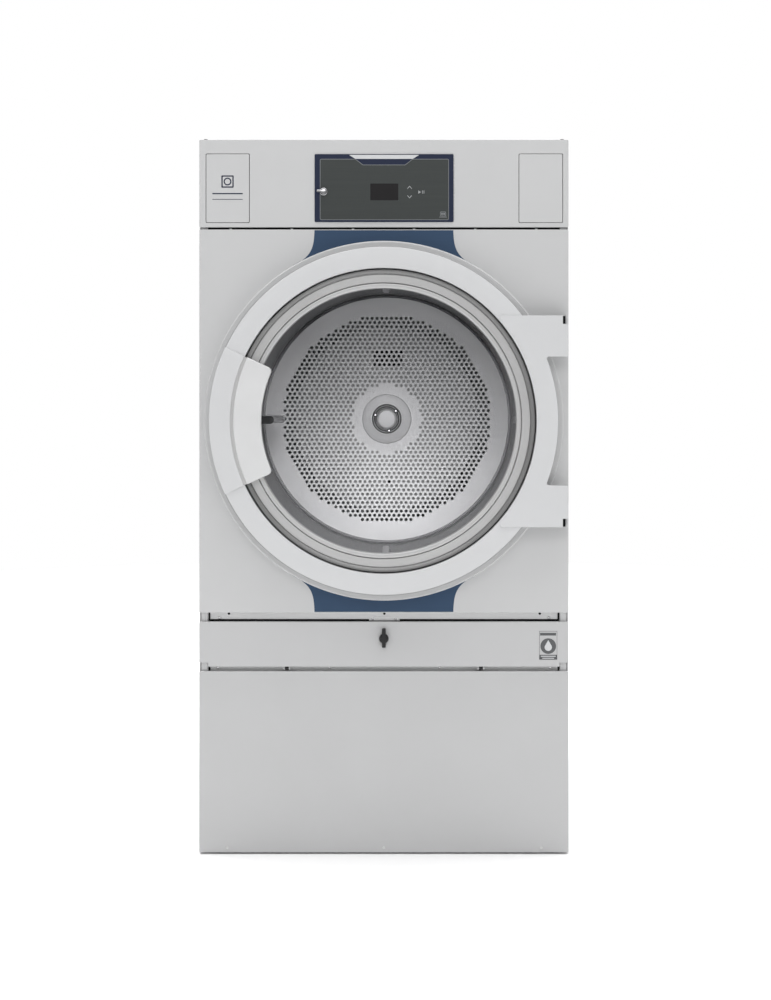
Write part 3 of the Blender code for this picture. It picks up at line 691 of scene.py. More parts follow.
def outline_ring(bm, outline, width, depth, thick=PRINT):
    """A thin printed line that follows an outline."""
    inner = inset(outline, width)
    front, back = depth - thick, depth - GAP
    rows = [facing(outline, front), facing(inner, front), facing(inner, back), facing(outline, back)]
    strip(bm, rows, ring=True)


def print_shape(bm, outline, depth, thick=PRINT):
    plate(bm, outline, [], depth - thick, depth - GAP)


def chevron(bm, x0, x1, z, rise, width, depth, thick):
    """A printed arrow head, up or down, of two strokes of even width."""
    run = (x1 - x0) / 2
    length = math.hypot(run, rise)
    out, up, mitre = (width / 2 * k for k in (rise / length, run / length, length / run))
    middle = x0 + run
    above = [(x0 - out, z + up), (middle, z + rise + mitre), (x1 + out, z + up)]
    below = [(x0 + out, z - up), (middle, z + rise - mitre), (x1 - out, z - up)]
    for i in (0, 1):
        print_shape(bm, [below[i], below[i + 1], above[i + 1], above[i]], depth, thick)


def build_lid():
    low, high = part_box("control_lid")
    x0, x1, z0, z1 = low.x, high.x, low.z, high.z
    face = low.y - FRONT
    round_off, rim, back = 0.0009, 0.009, 0.014
    outline = front_outline("control_lid")
    inner = inset(outline, rim)
    lock_z = node_centre("control_lock", "z")[0]
    bore = circle(0.01, 48, (-0.1562, lock_z))
    bm = new()
    rows = edge_rows(outline, round_off, face)
    strip(bm, [*rows, facing(outline, -0.0004), facing(inner, -0.0004), facing(inner, back)])
    web(bm, inner, [], facing, back)
    web(bm, inset(outline, round_off), [bore], facing, face)
    strip(bm, [facing(bore, face), facing(bore, face + 0.004)], caps="e")
    make("lid_frame", bm, "lid", NAVY, ["control_lid"], even=True)

    # Dark field inside a thin light line, with a header band that steps into it.
    fx0, fx1, fz0, fz1 = x0 + 0.015, x1 - 0.0132, z0 + 0.0062, z1 - 0.0138
    mid = (x0 + x1) / 2
    wide, narrow, deep = 0.0745, 0.055, fz1 - 0.015
    field = fillet([
        (fx0, fz0), (fx1, fz0), (fx1, fz1), (mid + wide, fz1), (mid + narrow, deep), (mid - narrow, deep),
        (mid - wide, fz1), (fx0, fz1),
    ], [0.003, 0.003, 0.003, 0.0008, 0.002, 0.002, 0.0008, 0.003])
    bm = new()
    plate(bm, field, [bore], face - 0.0001, face - GAP)
    make("lid_field", bm, "lid", FIELD)
    bm = new()
    outline_ring(bm, inset(field, -0.0011), 0.0012, face, 0.00016)
    make("lid_line", bm, "lid", GREY_INK)
    top, foot = z1 - 0.0022, fz1 + 0.0012
    header = [(mid - 0.0915, top), (mid - 0.0742, foot), (mid + 0.0742, foot), (mid + 0.0915, top)]
    bm = new()
    print_shape(bm, fillet(header, 0.0006, 2), face, 0.0003)
    make("lid_header", bm, "lid", WHITE_INK)
    bm = new()
    print_shape(bm, fillet(rect(-0.0352, 0.0374, 1.699, 1.7424), 0.0012, 4), face, 0.0003)
    make("display_glass", bm, "lid", SCREEN)

    # Touch symbols: up, down, start and pause, and the page of a manual.
    bm = new()
    for z, rise in ((1.7292, 0.0062), (1.7114, -0.0062)):
        chevron(bm, 0.0612, 0.0724, z, rise, 0.0015, face, INK)
    z, half = 1.7203, 0.0042
    print_shape(bm, [(0.0896, z - half), (0.0962, z), (0.0896, z + half)], face, INK)
    for x in (0.0994, 0.1034):
        print_shape(bm, rect(x, x + 0.0014, z - half, z + half), face, INK)
    make("touch_symbols", bm, "lid", SOFT_INK)
    bm = new()
    outline_ring(bm, fillet(rect(0.1462, 0.1612, 1.6578, 1.6694), 0.0022, 4), 0.0012, face, INK)
    print_shape(bm, rect(0.144, 0.1634, 1.6546, 1.6562), face, INK)
    for x in (0.1488, 0.1544):
        print_shape(bm, rect(x, x + 0.0044, 1.6612, 1.6664), face, INK)
    make("manual_symbol", bm, "lid", GREY_INK)

    # Lock: bevelled collar, barrel with a key slot, and the lever of the key.
    at = (-0.1565, lock_z)
    collar = mm(
        (9.5, 14), (9.5, -2.6), (10.3, -2.7), (10.4, -3.4), (10.2, -5.2), (9.4, -6.2), (8.6, -6.5),
        (7.8, -6.4), (7.4, -5.8), (7.1, -6.6), (6.4, -7.6), (5, -8),
    )
    key = mm((-18, 0.5), (-16.5, -1.5), (-6, -2), (4, -2.2), (4, 2.2), (-8, 4), (-16.5, 4.2))
    slot, cam = rect(-0.0035, 0.0035, -0.0012, 0.0012), rect(-0.012, 0.006, -0.005, 0.005)
    bm = new()
    lathe(bm, collar, 64, at, False)
    slab(bm, fillet(shifted(key, at), 0.0008, 3), -0.0118, -0.0095, 0.0005, both=True)
    slab(bm, fillet(shifted(slot, at), 0.0005, 3), -0.01, -0.0078)
    slab(bm, fillet(shifted(cam, at), 0.002, 4), 0.0155, 0.018, 0.0004, both=True)
    lathe(bm, mm((9.5, 13.9), (9.5, 15.6)), 64, at, False)
    make("lid_lock_barrel", bm, "lid_lock", CHROME, ["control_lock"])


# The flap over the lint drawer, its rails and its knob


def build_flap():
    z0, z1 = limits("lower_panel", "z")[1] + 0.012, limits("flap", "z")[1]
    side, notch, knob_z = 0.457, z0 + 0.0106, 0.561
    outline = fillet([
        (-side, z0), (side, z0), (side, notch), (HALF, notch), (HALF, z1), (-HALF, z1), (-HALF, notch),
        (-side, notch),
    ], [0.002, 0.002, 0.0, 0.003, 0.003, 0.003, 0.003, 0.0])
    bm = new()
    sheet(bm, outline, [circle(0.0048, 32, (0, knob_z))], 0.01, lip=0.0025, hole_radius=0.0003)
    pin_y, pin_z = FRONT + 0.0055, 0.482
    lug = fillet(rect(pin_y - 0.003, pin_y + 0.003, pin_z - 0.003, z0 + 0.001), 0.0008, 3)
    for x in (-0.2525, 0.2525):
        pin = [(0.0016, x - 0.009), (0.002, x - 0.0086), (0.002, x + 0.0086), (0.0016, x + 0.009)]
        lathe(bm, pin, 24, (pin_y, pin_z), False, upright)
        for middle in (x - 0.0075, x + 0.0075):
            strip(bm, [upright(lug, middle - 0.0015), upright(lug, middle + 0.0015)], caps="se")
    make("flap_sheet", bm, "flap", PAINT_FLAP, ["flap"], even=True)

    hub = mm(
        (4.2, 8), (4.2, -0.3), (11.8, -0.3), (12.2, -1), (12.4, -6), (12.1, -10.5), (11.2, -12.4),
        (9.5, -13.4), (5, -14), (1, -14.1),
    )
    wing = fillet(rect(-0.005, 0.005, knob_z - 0.022, knob_z + 0.027), 0.0022)
    cam = fillet(rect(-0.006, 0.006, knob_z - 0.007, knob_z + 0.03), 0.002)
    bm = new()
    lathe(bm, hub, 64, (0, knob_z), False)
    slab(bm, wing, -0.0178, -0.0045, 0.0014, 4, both=True)
    slab(bm, cam, 0.0041, 0.0064, 0.0004, both=True)
    make("flap_latch", bm, "flap_lock", BLACK, ["flap_knob"])

    # Plain badge: a light plate with a dark disc, a drop shape in it and two bars, without any wording.
    x0, x1, b0, b1 = 0.404, 0.4505, 0.5055, 0.5795
    mid = (x0 + x1) / 2
    bm = new()
    print_shape(bm, fillet(rect(x0, x1, b0, b1), 0.0008, 3), 0.0, INK)
    make("badge_plate", bm, "flap", PAINT_LOW)
    bm = new()
    bars = rect(x0, x1, b0, b0 + 0.0125), rect(x0 + 0.002, x1 - 0.003, b1 - 0.0115, b1 - 0.0045)
    for shape in (circle(0.0203, 64, (mid, 0.5405)), *bars):
        print_shape(bm, shape, -0.00022, 0.00015)
    outline_ring(bm, rect(x0, x1, b0, b1), 0.0009, -0.00022, 0.00015)
    make("badge_disc", bm, "flap", BADGE)
    bm = new()
    print_shape(bm, [(mid, 0.556), *arc((mid, 0.5375), 0.0095, 145, 395, 20)], -0.0004)
    for edge, low, high in ((0.004, 0.0075, 0.0098), (0.008, 0.0026, 0.0046)):
        print_shape(bm, rect(x0 + edge, x1 - edge, b0 + low, b0 + high), -0.0004)
    make("badge_marks", bm, "flap", WHITE_INK)


def build_rails():
    """Channels behind the gaps above and below the flap."""
    half, end = 0.4535, 0.4765
    front, step, back = (FRONT + d for d in (0.0185, 0.0215, 0.045))
    section = fillet([
        (-half, front), (half, front), (half, step), (end, step), (end, back), (-end, back), (-end, step),
        (-half, step),
    ], [0.0008, 0.0008, 0.0, 0.0, 0.0, 0.0, 0.0, 0.0], 3)
    # The front lip of the upper rail stands below its channel, and the keeper plate hangs from it.
    z0, z1 = 0.6078, limits("flap_rail_upper", "z")[1]
    bm = new()
    strip(bm, [*edge_rows(section, 0.0008, z0, 1, 3, level), level(section, z1)])
    web(bm, inset(section, 0.0008), [], level, z0)
    web(bm, section, [], level, z1)
    slab(bm, fillet(rect(-0.039, 0.041, 0.6044, 0.615), 0.0012, 3), 0.0172, 0.02, 0.0004)
    # The rails take the near-white paint: painted light in their recess.
    make("channel_flap_rail_upper", bm, "cabinet", RAIL_LIGHTENED, ["flap_rail_upper"], even=True)
    bm = new()
    plate(bm, section, [], *limits("flap_rail_lower", "z"), level)
    make("channel_flap_rail_lower", bm, "cabinet", RAIL_LIGHTENED, ["flap_rail_lower"], even=True)
    bm = new()
    block(bm, (-0.4575, 0.4575), (0.0172, 0.0184), (0.6252, 0.629), 0.0002)
    rivet = mm((3.4, 18.4), (3.4, 17.4), (2.6, 17), (0.8, 16.9))
    for x in (-0.405, 0.001, 0.407):
        lathe(bm, rivet, SMALL, (x, 0.6226), False)
    make("rail_rivets", bm, "cabinet", BLACK)

    # Painted shade: near-black strips in the gaps between the rails and the front posts, and under the upper
    # rail.
    bm = new()
    spaces = [((x, x + 0.0048), z) for x in (-0.4586, 0.4538) for z in ((0.456, 0.4995), (0.6036, 0.64))]
    spaces += [(x, (0.601, 0.6076)) for x in ((-0.4538, -0.0392), (0.0412, 0.4538))]
    for x, z in spaces:
        block(bm, x, (0.0188, 0.0206), z, 0.0002)
    make("rail_gaps", bm, "cabinet", SHADOW)
    bm = new()
    for x in (-0.429, 0.431):
        screw(bm, (x, 0.6115), 0.0184, 0.004, 0.0014, -1)
    for x in (-0.029, 0.031):
        screw(bm, (x, 0.6085), 0.0172, 0.0034, 0.0012, -1)
    for x in (-0.434, -0.142, 0.145, 0.434):
        screw(bm, (x, 0.4815), 0.0184, 0.0034, 0.0012, -1)
    make("rail_screws", bm, "cabinet", STEEL)


# The loading door


def ring_sector(inner, outer, start, end, radii):
    """A sector of a ring, its corners rounded: inner start, outer start, outer end, inner end."""
    middle = (inner + outer) / 2
    a0, a1 = math.radians(start) * middle, math.radians(end) * middle
    corners = fillet([(a0, inner), (a0, outer), (a1, outer), (a1, inner)], list(radii), 8)
    result = []
    for here, ahead in zip(corners, corners[1:] + corners[:1]):
        parts = max(1, round(math.dist(here, ahead) / 0.006))
        for k in range(parts):
            u, v = (h + (g - h) * k / parts for h, g in zip(here, ahead))
            result.append((v * math.cos(u / middle), AXIS + v * math.sin(u / middle)))
    return result


def build_door():
    inner, flush = 0.3925, -0.0523  # inner radius of the ring, and the depth just before its face
    ring = fillet(
        [(DOOR_R, -0.042), (DOOR_R, -0.052), (inner, -0.052), (inner, -0.042)],
        [0.0006, 0.0014, 0.0014, 0.0006],
    )
    frame = [(0.4495, -0.008), (0.4495, -0.043), (inner, -0.043), (inner, -0.008)]
    ring_piece("door_ring_cover", ring, "door", PAINT_DOOR, ["door_ring"])
    # The frame shows as a thin rim round the ring; its darker paint is painted shade for the edge line.
    ring_piece("door_ring_frame", fillet(frame, 0.0012, 3), "door", RIM_SHADE_PAINT)
    bezel = mm(
        (388, -11.8), (388, -15), (377.2, -16), (377.2, -29.6), (376.8, -30), (356.6, -30), (356.2, -22),
        (354, -22), (353.6, -33), (352.8, -34.3), (351.2, -34.6), (344, -33.9), (342.7, -33.4),
        (342.1, -32.2), (342, -30), (342, -11.8),
    )
    ring_piece("window_frame", bezel, "door", BEZEL, ["window_bezel"])
    roll = mm((389, -39), (389, -16.2), (377.4, -16.2))
    turns = [math.radians(a) for a in range(0, 91, 10)]
    roll += [(0.3872 - 0.0096 * math.cos(a), -0.0306 - 0.009 * math.sin(a)) for a in turns]
    # The roll's dark steel is partly painted shade in the gap inside the ring.
    ring_piece("window_roll", roll, "door", ROLL_SHADE)
    pane = mm((1, -22), (341.1, -22), (341.1, -17), (1, -17))
    bm = new()
    lathe(bm, fillet(pane, [0, 0.0006, 0.0006, 0], 3), FULL, CENTRE, False)
    make("window_glass", bm, "door", GLASS, ["door_glass"])
    seal = mm((384, -11.5), (384, -4.5), (366, -4.5), (366, -11.5))
    seal = fillet(seal, [0, 0.002, 0.002, 0])
    ring_piece("window_seal", seal, "door", RUBBER, ["door_seal"])

    # Handle: a grip over the inner edge of the ring and a cover plate flush beside it, a groove between.
    bm = new()
    grip = ring_sector(0.314, 0.3855, 155, 205, (0.012, 0.0015, 0.0015, 0.012))
    slab(bm, grip, -0.056, -0.0405, 0.0026, 6, both=True)
    make("handle_grip", bm, "door", GRIP, ["door_handle"], even=True)
    bm = new()
    slab(bm, ring_sector(0.3935, 0.4475, 155.1, 204.9, (0.0006,) * 4), -0.056, flush, 0.0014, 5)
    make("handle_cover", bm, "door", PAINT_DOOR, even=True)
    bm = new()
    slab(bm, ring_sector(0.38, 0.396, 155.2, 204.8, (0.0,) * 4), -0.053, -0.0524, 0.0002, 1)
    make("handle_groove", bm, "door", BEZEL)
    build_hinge()


def build_hinge():
    """Hinge plate: flush with the ring, bent back along its outer edge, cut out in the middle."""
    z0, z1 = 0.854, 1.396
    x1, notch_x, notch = 0.4722, 0.459, 0.0215
    w0, w1, reach, inner, left = 0.959, 1.291, 0.447, 0.3926, 0.298
    near_face, rear_face, bevel = -0.0548, -0.0523, 0.0008
    a0 = math.degrees(math.asin((w1 - AXIS) / reach))
    a1 = math.degrees(math.acos(left / inner))
    outer_arc = arc(CENTRE, reach, -a0, a0, 24)
    inner_arc = arc(CENTRE, inner, a1, -a1, 40)
    points = [(left, z0), (notch_x, z0), (notch_x, z0 + notch), (x1, z0 + notch), (x1, w0), *outer_arc,
              (x1, w1), (x1, z1 - notch), (notch_x, z1 - notch), (notch_x, z1), (left, z1), *inner_arc]
    radii = [0.0] * len(points)
    # Radii of the corners by their place in the outline, the outer arc being 5 to 29.
    rounded = {0: 0.003, 1: 0.001, 4: 0.002, 5: 0.0055, 29: 0.0055, 30: 0.002, 33: 0.001, 34: 0.003}
    for i, radius in rounded.items():
        radii[i] = radius
    outline = fillet(points, radii)
    bm = new()
    strip(bm, [*edge_rows(outline, bevel, near_face), facing(outline, rear_face)])
    web(bm, inset(outline, bevel), [], facing, near_face)
    web(bm, outline, [], facing, rear_face)
    bmesh.ops.remove_doubles(bm, verts=bm.verts, dist=WELD)
    for bend in (reach, 0.453, 0.459, 0.466):
        geometry = bm.verts[:] + bm.edges[:] + bm.faces[:]
        bmesh.ops.bisect_plane(bm, geom=geometry, plane_co=(bend, 0, 0), plane_no=(1, 0, 0), dist=WELD)
    for vert in bm.verts:
        over = max(vert.co.x - reach, 0.0)
        vert.co.y += 0.05 * over + over * over
    bmesh.ops.recalc_face_normals(bm, faces=bm.faces)
    hinge = (0.4708, FRONT - 0.03)
    thick, slim = 0.0048, 0.0029  # radius of a knuckle and of its pin
    for near, far, tip in ((z0 + notch, w0 - 0.004, z0 + 0.004), (z1 - notch, w1 + 0.004, z1 - 0.004)):
        way = 1 if near > tip else -1
        block(bm, (hinge[0] - 0.0045, x1), (-0.0515, -0.027), (min(near, far), max(near, far)), 0.0006)
        knuckle = [
            (0.0042, near + way * 0.04), (thick, near + way * 0.0394), (thick, near + way * 0.0006),
            (0.0042, near), (slim, near), (slim, tip),
        ]
        lathe(bm, knuckle, 40, hinge, False, level)
    make("hinge_wing", bm, "door", PAINT_DOOR, ["hinge_plate"], even=True)
    bore = circle(0.00305, 32, hinge)
    for node in ("hinge_bracket_upper", "hinge_bracket_lower"):
        low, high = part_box(node)
        ear = fillet(rect(low.x, high.x, low.y, high.y), [0.003, 0.003, 0.0006, 0.0006])
        bm = new()
        plate(bm, ear, [bore], low.z, high.z, level)
        make(f"ear_{node}", bm, "cabinet", PAINT, [node])
    bm = new()
    for z in (z0 + 0.0108, z1 - 0.0108):
        block(bm, (0.4592, 0.4662), (-0.048, -0.03), (z - 0.01, z + 0.01), 0.0003)
    make("hinge_shadow", bm, "door", SHADOW)


# The drum

DISH_RIM, DISH_CENTRE = 0.902, 0.93  # depth of the drum back at its rim and round the hub
DISH_INNER, DISH_OUTER = 0.07, 0.394  # radii
PITCH = 0.01575  # between neighbouring holes
ROW = PITCH * math.sqrt(3) / 2
HOLE_R = 0.0053
HOLES_FROM, HOLES_TO = 0.1115, 0.338  # radii between which the centres of the holes lie
BAFFLE_INNER, BAFFLE_OUTER, PILOT_R = 0.08, 0.3, 0.0066


def thicken(bm, amount):
    """Gives an open sheet that faces the front a rear face and walls along its edges."""
    for face in bm.faces:
        face.normal_update()
        if face.normal.y > 0:
            face.normal_flip()
    front = list(bm.faces)
    rims = [edge.link_loops[0] for edge in bm.edges if len(edge.link_faces) == 1]
    walls = [(loop.vert, loop.link_loop_next.vert) for loop in rims]
    rear = {vert: bm.verts.new(vert.co + Vector((0.0, amount, 0.0))) for vert in list(bm.verts)}
    for face in front:
        bm.faces.new([rear[vert] for vert in reversed(face.verts)])
    for a, b in walls:
        bm.faces.new((b, a, rear[a], rear[b]))


def from_axis(point):
    return math.hypot(point[0], point[1] - AXIS)


def dish_depth(point):
    flat = 0.11
    t = min(max((from_axis(point) - flat) / (DISH_OUTER - flat), 0.0), 1.0)
    return DISH_CENTRE + (DISH_RIM - DISH_CENTRE) * (t * t * (3 - 2 * t) * 0.25 + t * 0.75)


def build_baffle(pilot):
    """The plate behind the drum follows its back, with a square opening above and a small pilot hole."""
    coords, edges = [], []

    def ring_of(points, closed=True):
        first = len(coords)
        coords.extend(Vector(p) for p in points)
        if closed:
            count = len(points)
            edges.extend((first + k, first + (k + 1) % count) for k in range(count))

    ring_of(circle(BAFFLE_OUTER, 96))
    ring_of(circle(BAFFLE_INNER, 48))
    for r in (0.1, 0.12, 0.14, 0.17, 0.2, 0.23, 0.26, 0.28):
        ring_of(circle(r, 72), False)
    x0, x1, z0, z1 = -0.046, 0.053, AXIS + 0.17, AXIS + 0.227
    ring_of(rect(x0, x1, z0, z1))
    ring_of(circle(PILOT_R, 24, pilot))
    points, _, faces, *_ = delaunay_2d_cdt(coords, edges, [], 0, 1e-8)
    bm = new()
    verts = []
    for point in points:
        slope = min(max((from_axis(point) - 0.12) / 0.18, 0.0), 1.0)
        verts.append(bm.verts.new(facing([tuple(point)], 0.9362 - 0.005 * slope)[0]))
    for face in faces:
        middle = sum((points[k] for k in face), Vector((0.0, 0.0))) / len(face)
        in_opening = x0 < middle.x < x1 and z0 < middle.y < z1
        in_pilot = math.dist(middle, pilot) < PILOT_R - 0.0001
        if BAFFLE_INNER < from_axis(middle) < BAFFLE_OUTER and not in_opening and not in_pilot:
            bm.faces.new([verts[k] for k in face])
    thicken(bm, 0.0015)
    make("baffle_plate", bm, "cabinet", BAFFLE, ["air_baffle"])


def hole_centre(i, j):
    return PITCH * (i + 0.5 * (j % 2)), AXIS + ROW * j


def cell_at(point):
    """The hexagonal cell that holds a point."""
    near = []
    row = round((point[1] - AXIS) / ROW)
    for j in (row - 1, row, row + 1):
        column = round(point[0] / PITCH - 0.5 * (j % 2))
        near += [(i, j) for i in (column - 1, column, column + 1)]
    return min(near, key=lambda cell: math.dist(point, hole_centre(*cell)))


def build_drum_back():
    grid = [(i, j) for j in range(-26, 27) for i in range(-23, 24)]
    cells = {cell for cell in grid if HOLES_FROM < from_axis(hole_centre(*cell)) < HOLES_TO}
    bm = new()
    shared, borders = {}, {}

    def vertex(point):
        key = (round(point[0], 6), round(point[1], 6))
        if key not in shared:
            shared[key] = bm.verts.new(facing([point], dish_depth(point))[0])
        return shared[key]

    corner = PITCH / math.sqrt(3)
    for i, j in sorted(cells):
        x, z = hole_centre(i, j)
        rim = []
        for k in range(6):
            a = math.radians(30 + 60 * k)
            b = math.radians(90 + 60 * k)
            c0 = (x + corner * math.cos(a), z + corner * math.sin(a))
            c1 = (x + corner * math.cos(b), z + corner * math.sin(b))
            rim += [c0, ((c0[0] + c1[0]) / 2, (c0[1] + c1[1]) / 2)]
        outer = [vertex(p) for p in rim]
        hole = [vertex(p) for p in circle(HOLE_R, 12, (x, z), math.radians(30))]
        for k in range(12):
            n = (k + 1) % 12
            bm.faces.new((outer[k], outer[n], hole[n], hole[k]))
            key = frozenset((outer[k], outer[n]))
            if key in borders:
                del borders[key]
            else:
                borders[key] = (rim[k], rim[n])

    # The plain metal between the holes, the centre and the rim.
    coords, index = [], {}

    def point_index(p):
        key = (round(p[0], 6), round(p[1], 6))
        if key not in index:
            index[key] = len(coords)
            coords.append(Vector(key))
        return index[key]

    edges = [(point_index(a), point_index(b)) for a, b in borders.values()]
    bands = [(DISH_INNER, 72), (0.08, 72), (0.09, 84), (0.1, 84), (0.347, 120)]
    bands += [(r, FULL) for r in (0.352, 0.36, 0.37, 0.382, DISH_OUTER)]
    for r, count in bands:
        ids = [point_index(p) for p in circle(r, count)]
        if r in (DISH_INNER, DISH_OUTER):
            edges += [(ids[k], ids[(k + 1) % count]) for k in range(count)]
    points, _, faces, *_ = delaunay_2d_cdt(coords, edges, [], 0, 1e-8)
    for face in faces:
        middle = sum((points[k] for k in face), Vector((0.0, 0.0))) / len(face)
        on_sheet = DISH_INNER - 0.0001 < from_axis(middle) < DISH_OUTER + 0.0001
        if on_sheet and cell_at(middle) not in cells:
            verts = [vertex(tuple(points[k])) for k in face]
            if len(set(verts)) == 3:
                try:
                    bm.faces.new(verts)
                except ValueError:
                    continue
    bmesh.ops.remove_doubles(bm, verts=bm.verts, dist=2e-6)
    thicken(bm, 0.0012)
    make("drum_back_sheet", bm, "drum", DISH, ["drum_back"])

    # The groove ring is painted dark: painted shade in the groove round the edge of the drum back.
    groove = mm(
        (394, 1.4), (394.1, -0.2), (395, -0.4), (396.2, 2), (398, -1.4), (399.8, -2.2), (401.2, -1.4),
        (402.6, 1.4), (404.4, -1.6), (405.2, -2.6), (405.4, 1.4),
    )
    ring_piece("drum_rim_groove", shifted(groove, (0, DISH_RIM)), "drum", GROOVE_SHADE)
    build_baffle((PITCH / 2, AXIS - 15 * ROW))


def build_drum():
    inner = SHELL_R - WALL
    front, back = (y - FRONT for y in limits("drum_shell", "y"))
    shell = [
        (0.3664, front), (SHELL_R - 0.006, front), (SHELL_R - 0.002, front + 0.0012),
        (SHELL_R, front + 0.005), (SHELL_R, back), (inner, back),
        (inner, front + 0.007), (inner - 0.002, front + 0.003),
        (inner - 0.006, front + 0.0018), (0.3664, front + 0.0018), (0.366, front + 0.0009),
    ]
    bead = mm((-0.1, 892), (-0.9, 892.6), (-1.2, 893.5), (-0.9, 894.4), (-0.1, 895))
    ring_piece("drum_shell_sheet", shell, "drum", DRUM, ["drum_shell"])
    # The bead takes the bright trim steel, lighter than the wall: a painted highlight along the rear of the
    # drum wall.
    ring_piece("drum_bead", shifted(bead, (inner, 0)), "drum", TRIM)
    build_drum_back()
    build_lifters()

    # Hub: thin pressed disc, ring groove with three screws, a centre that stands forward.
    hub = mm(
        (1, 916.3), (25, 916.4), (28.6, 917), (30.8, 918.6), (31.4, 920.5), (31.8, 924.5), (35.2, 924.6),
        (35.4, 923.6), (36.4, 923.6), (36.6, 924.6), (42, 924.6), (42.2, 923.4), (43.4, 923.4),
        (43.6, 924.6), (48.2, 924.5), (48.6, 921.5), (49.4, 920.6), (51.2, 920.6), (54.5, 921.4),
        (60, 922.2), (78, 924.2), (79.4, 924.6), (80, 925.4), (80, 929.6),
    )
    bm = new()
    lathe(bm, hub, 128, CENTRE, False)
    make("hub_disc", bm, "drum", DISH, ["drum_hub"])
    bm = new()
    lathe(bm, mm((32.5, 924.3), (47.8, 924.3), (47.8, 924.5), (32.5, 924.5)), 128)
    make("hub_groove", bm, "drum", CAP)
    turns = [math.radians(a) for a in (161, 41, -79)]
    places = [(0.0392 * math.cos(a), AXIS + 0.0392 * math.sin(a)) for a in turns]
    screws("hub_screws", CHROME, places, 0.9242, 0.0056, 0.0045, "drum")


def build_lifters():
    """Folded ribs on the wall with rounded noses; the left one is tall."""
    foot = 0.405
    for side, degrees in (("top", 90), ("right", 0), ("bottom", 270), ("left", 180)):
        name = f"lifter_{side}"
        low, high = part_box(name)
        half = (high.z - low.z if degrees in (0, 180) else high.x - low.x) / 2
        height = 0.092 if side == "left" else 0.013
        d0, d1 = low.y - FRONT, high.y - FRONT
        nose = min(half * 0.98, height * 0.8) * 0.8
        top = foot + 0.0005 - height
        section = [(-half, foot), (half, foot), (half * 0.86, top), (-half * 0.86, top)]
        section = fillet(section, [0.0, 0.0, nose, nose], 8)
        small = [(u * 0.96, foot + (v - foot) * 0.96) for u, v in section]
        a = math.radians(degrees)
        across, out = Vector((-math.sin(a), math.cos(a))), Vector((math.cos(a), math.sin(a)))

        def placed(points, depth):
            return facing([tuple(across * u + out * v + Vector(CENTRE)) for u, v in points], depth)

        bm = new()
        strip(bm, [placed(small, d0 + 0.01), placed(small, d1 - 0.004), placed(section, d1)], caps="se")
        make(f"{name}_rib", bm, "drum", DISH, [name])
        bm = new()
        rows = [placed(small, d0 + 0.0004), placed(section, d0 + 0.002), placed(section, d0 + 0.0104)]
        strip(bm, rows, caps="se")
        make(f"{name}_cap", bm, "drum", CAP)


def build_screen():
    """Lint screen: a frame with woven wire."""
    low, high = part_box("lint_screen")
    rim, overlap, step, wire = 0.022, 0.004, 0.0065, 0.0006
    x0, x1, y0, y1 = low.x + rim, high.x - rim, low.y + rim, high.y - rim
    bm = new()
    outline = fillet(rect(low.x, high.x, low.y, high.y), 0.004)
    hole = fillet(rect(x0, x1, y0, y1), 0.004)
    rows = [level(outline, low.z), level(outline, high.z), level(hole, high.z), level(hole, low.z)]
    strip(bm, rows, ring=True)
    make("screen_frame", bm, "cabinet", ZINC, ["lint_screen"])
    bm = new()
    middle = (low.z + high.z) / 2
    ends = (y0 - overlap - FRONT, y1 + overlap - FRONT)
    for i in range(1, int((x1 - x0) / step)):
        lathe(bm, [(wire, end) for end in ends], 5, (x0 + step * i, middle), False)
    ends = (x0 - overlap, x1 + overlap)
    for i in range(1, int((y1 - y0) / step)):
        lathe(bm, [(wire, end) for end in ends], 5, (y0 + step * i, middle + wire * 1.6), False, upright)
    make("screen_wires", bm, "cabinet", MESH)


def finish_cad_nodes():
    """Finishes for the CAD solids that show as they are."""
    plain = [
        (PAINT, "post_front_left post_front_right"),
        (PAINT_DARK, "bearing_housing drum_pulley drive_motor fan_motor"),
        (ZINC, "base_pan bearing_beam fan_impeller fan_housing heater_box"),
        (ZINC, "lint_box exhaust_collar electronics_tray"),
        (STEEL, "drum_shaft motor_pulley control_hinge_rod door_catch"),
        (BLACK, "skirt_strip cable_gland flap_hinge_left flap_hinge_right"),
        (RUBBER, "drive_belt"),
    ]
    for material, names in plain:
        for name in names.split():
            data = NODES[name].data
            data.materials.clear()
            data.materials.append(material)


# Studio

ROOM = (0.4, 0.58)  # strength of the world in front of the machine, low and high
KEY, TOP = 24, 545  # watts
INNER, FRONTAL, SIDE = 27, 6, 90  # watts of the lights that reach the drum only


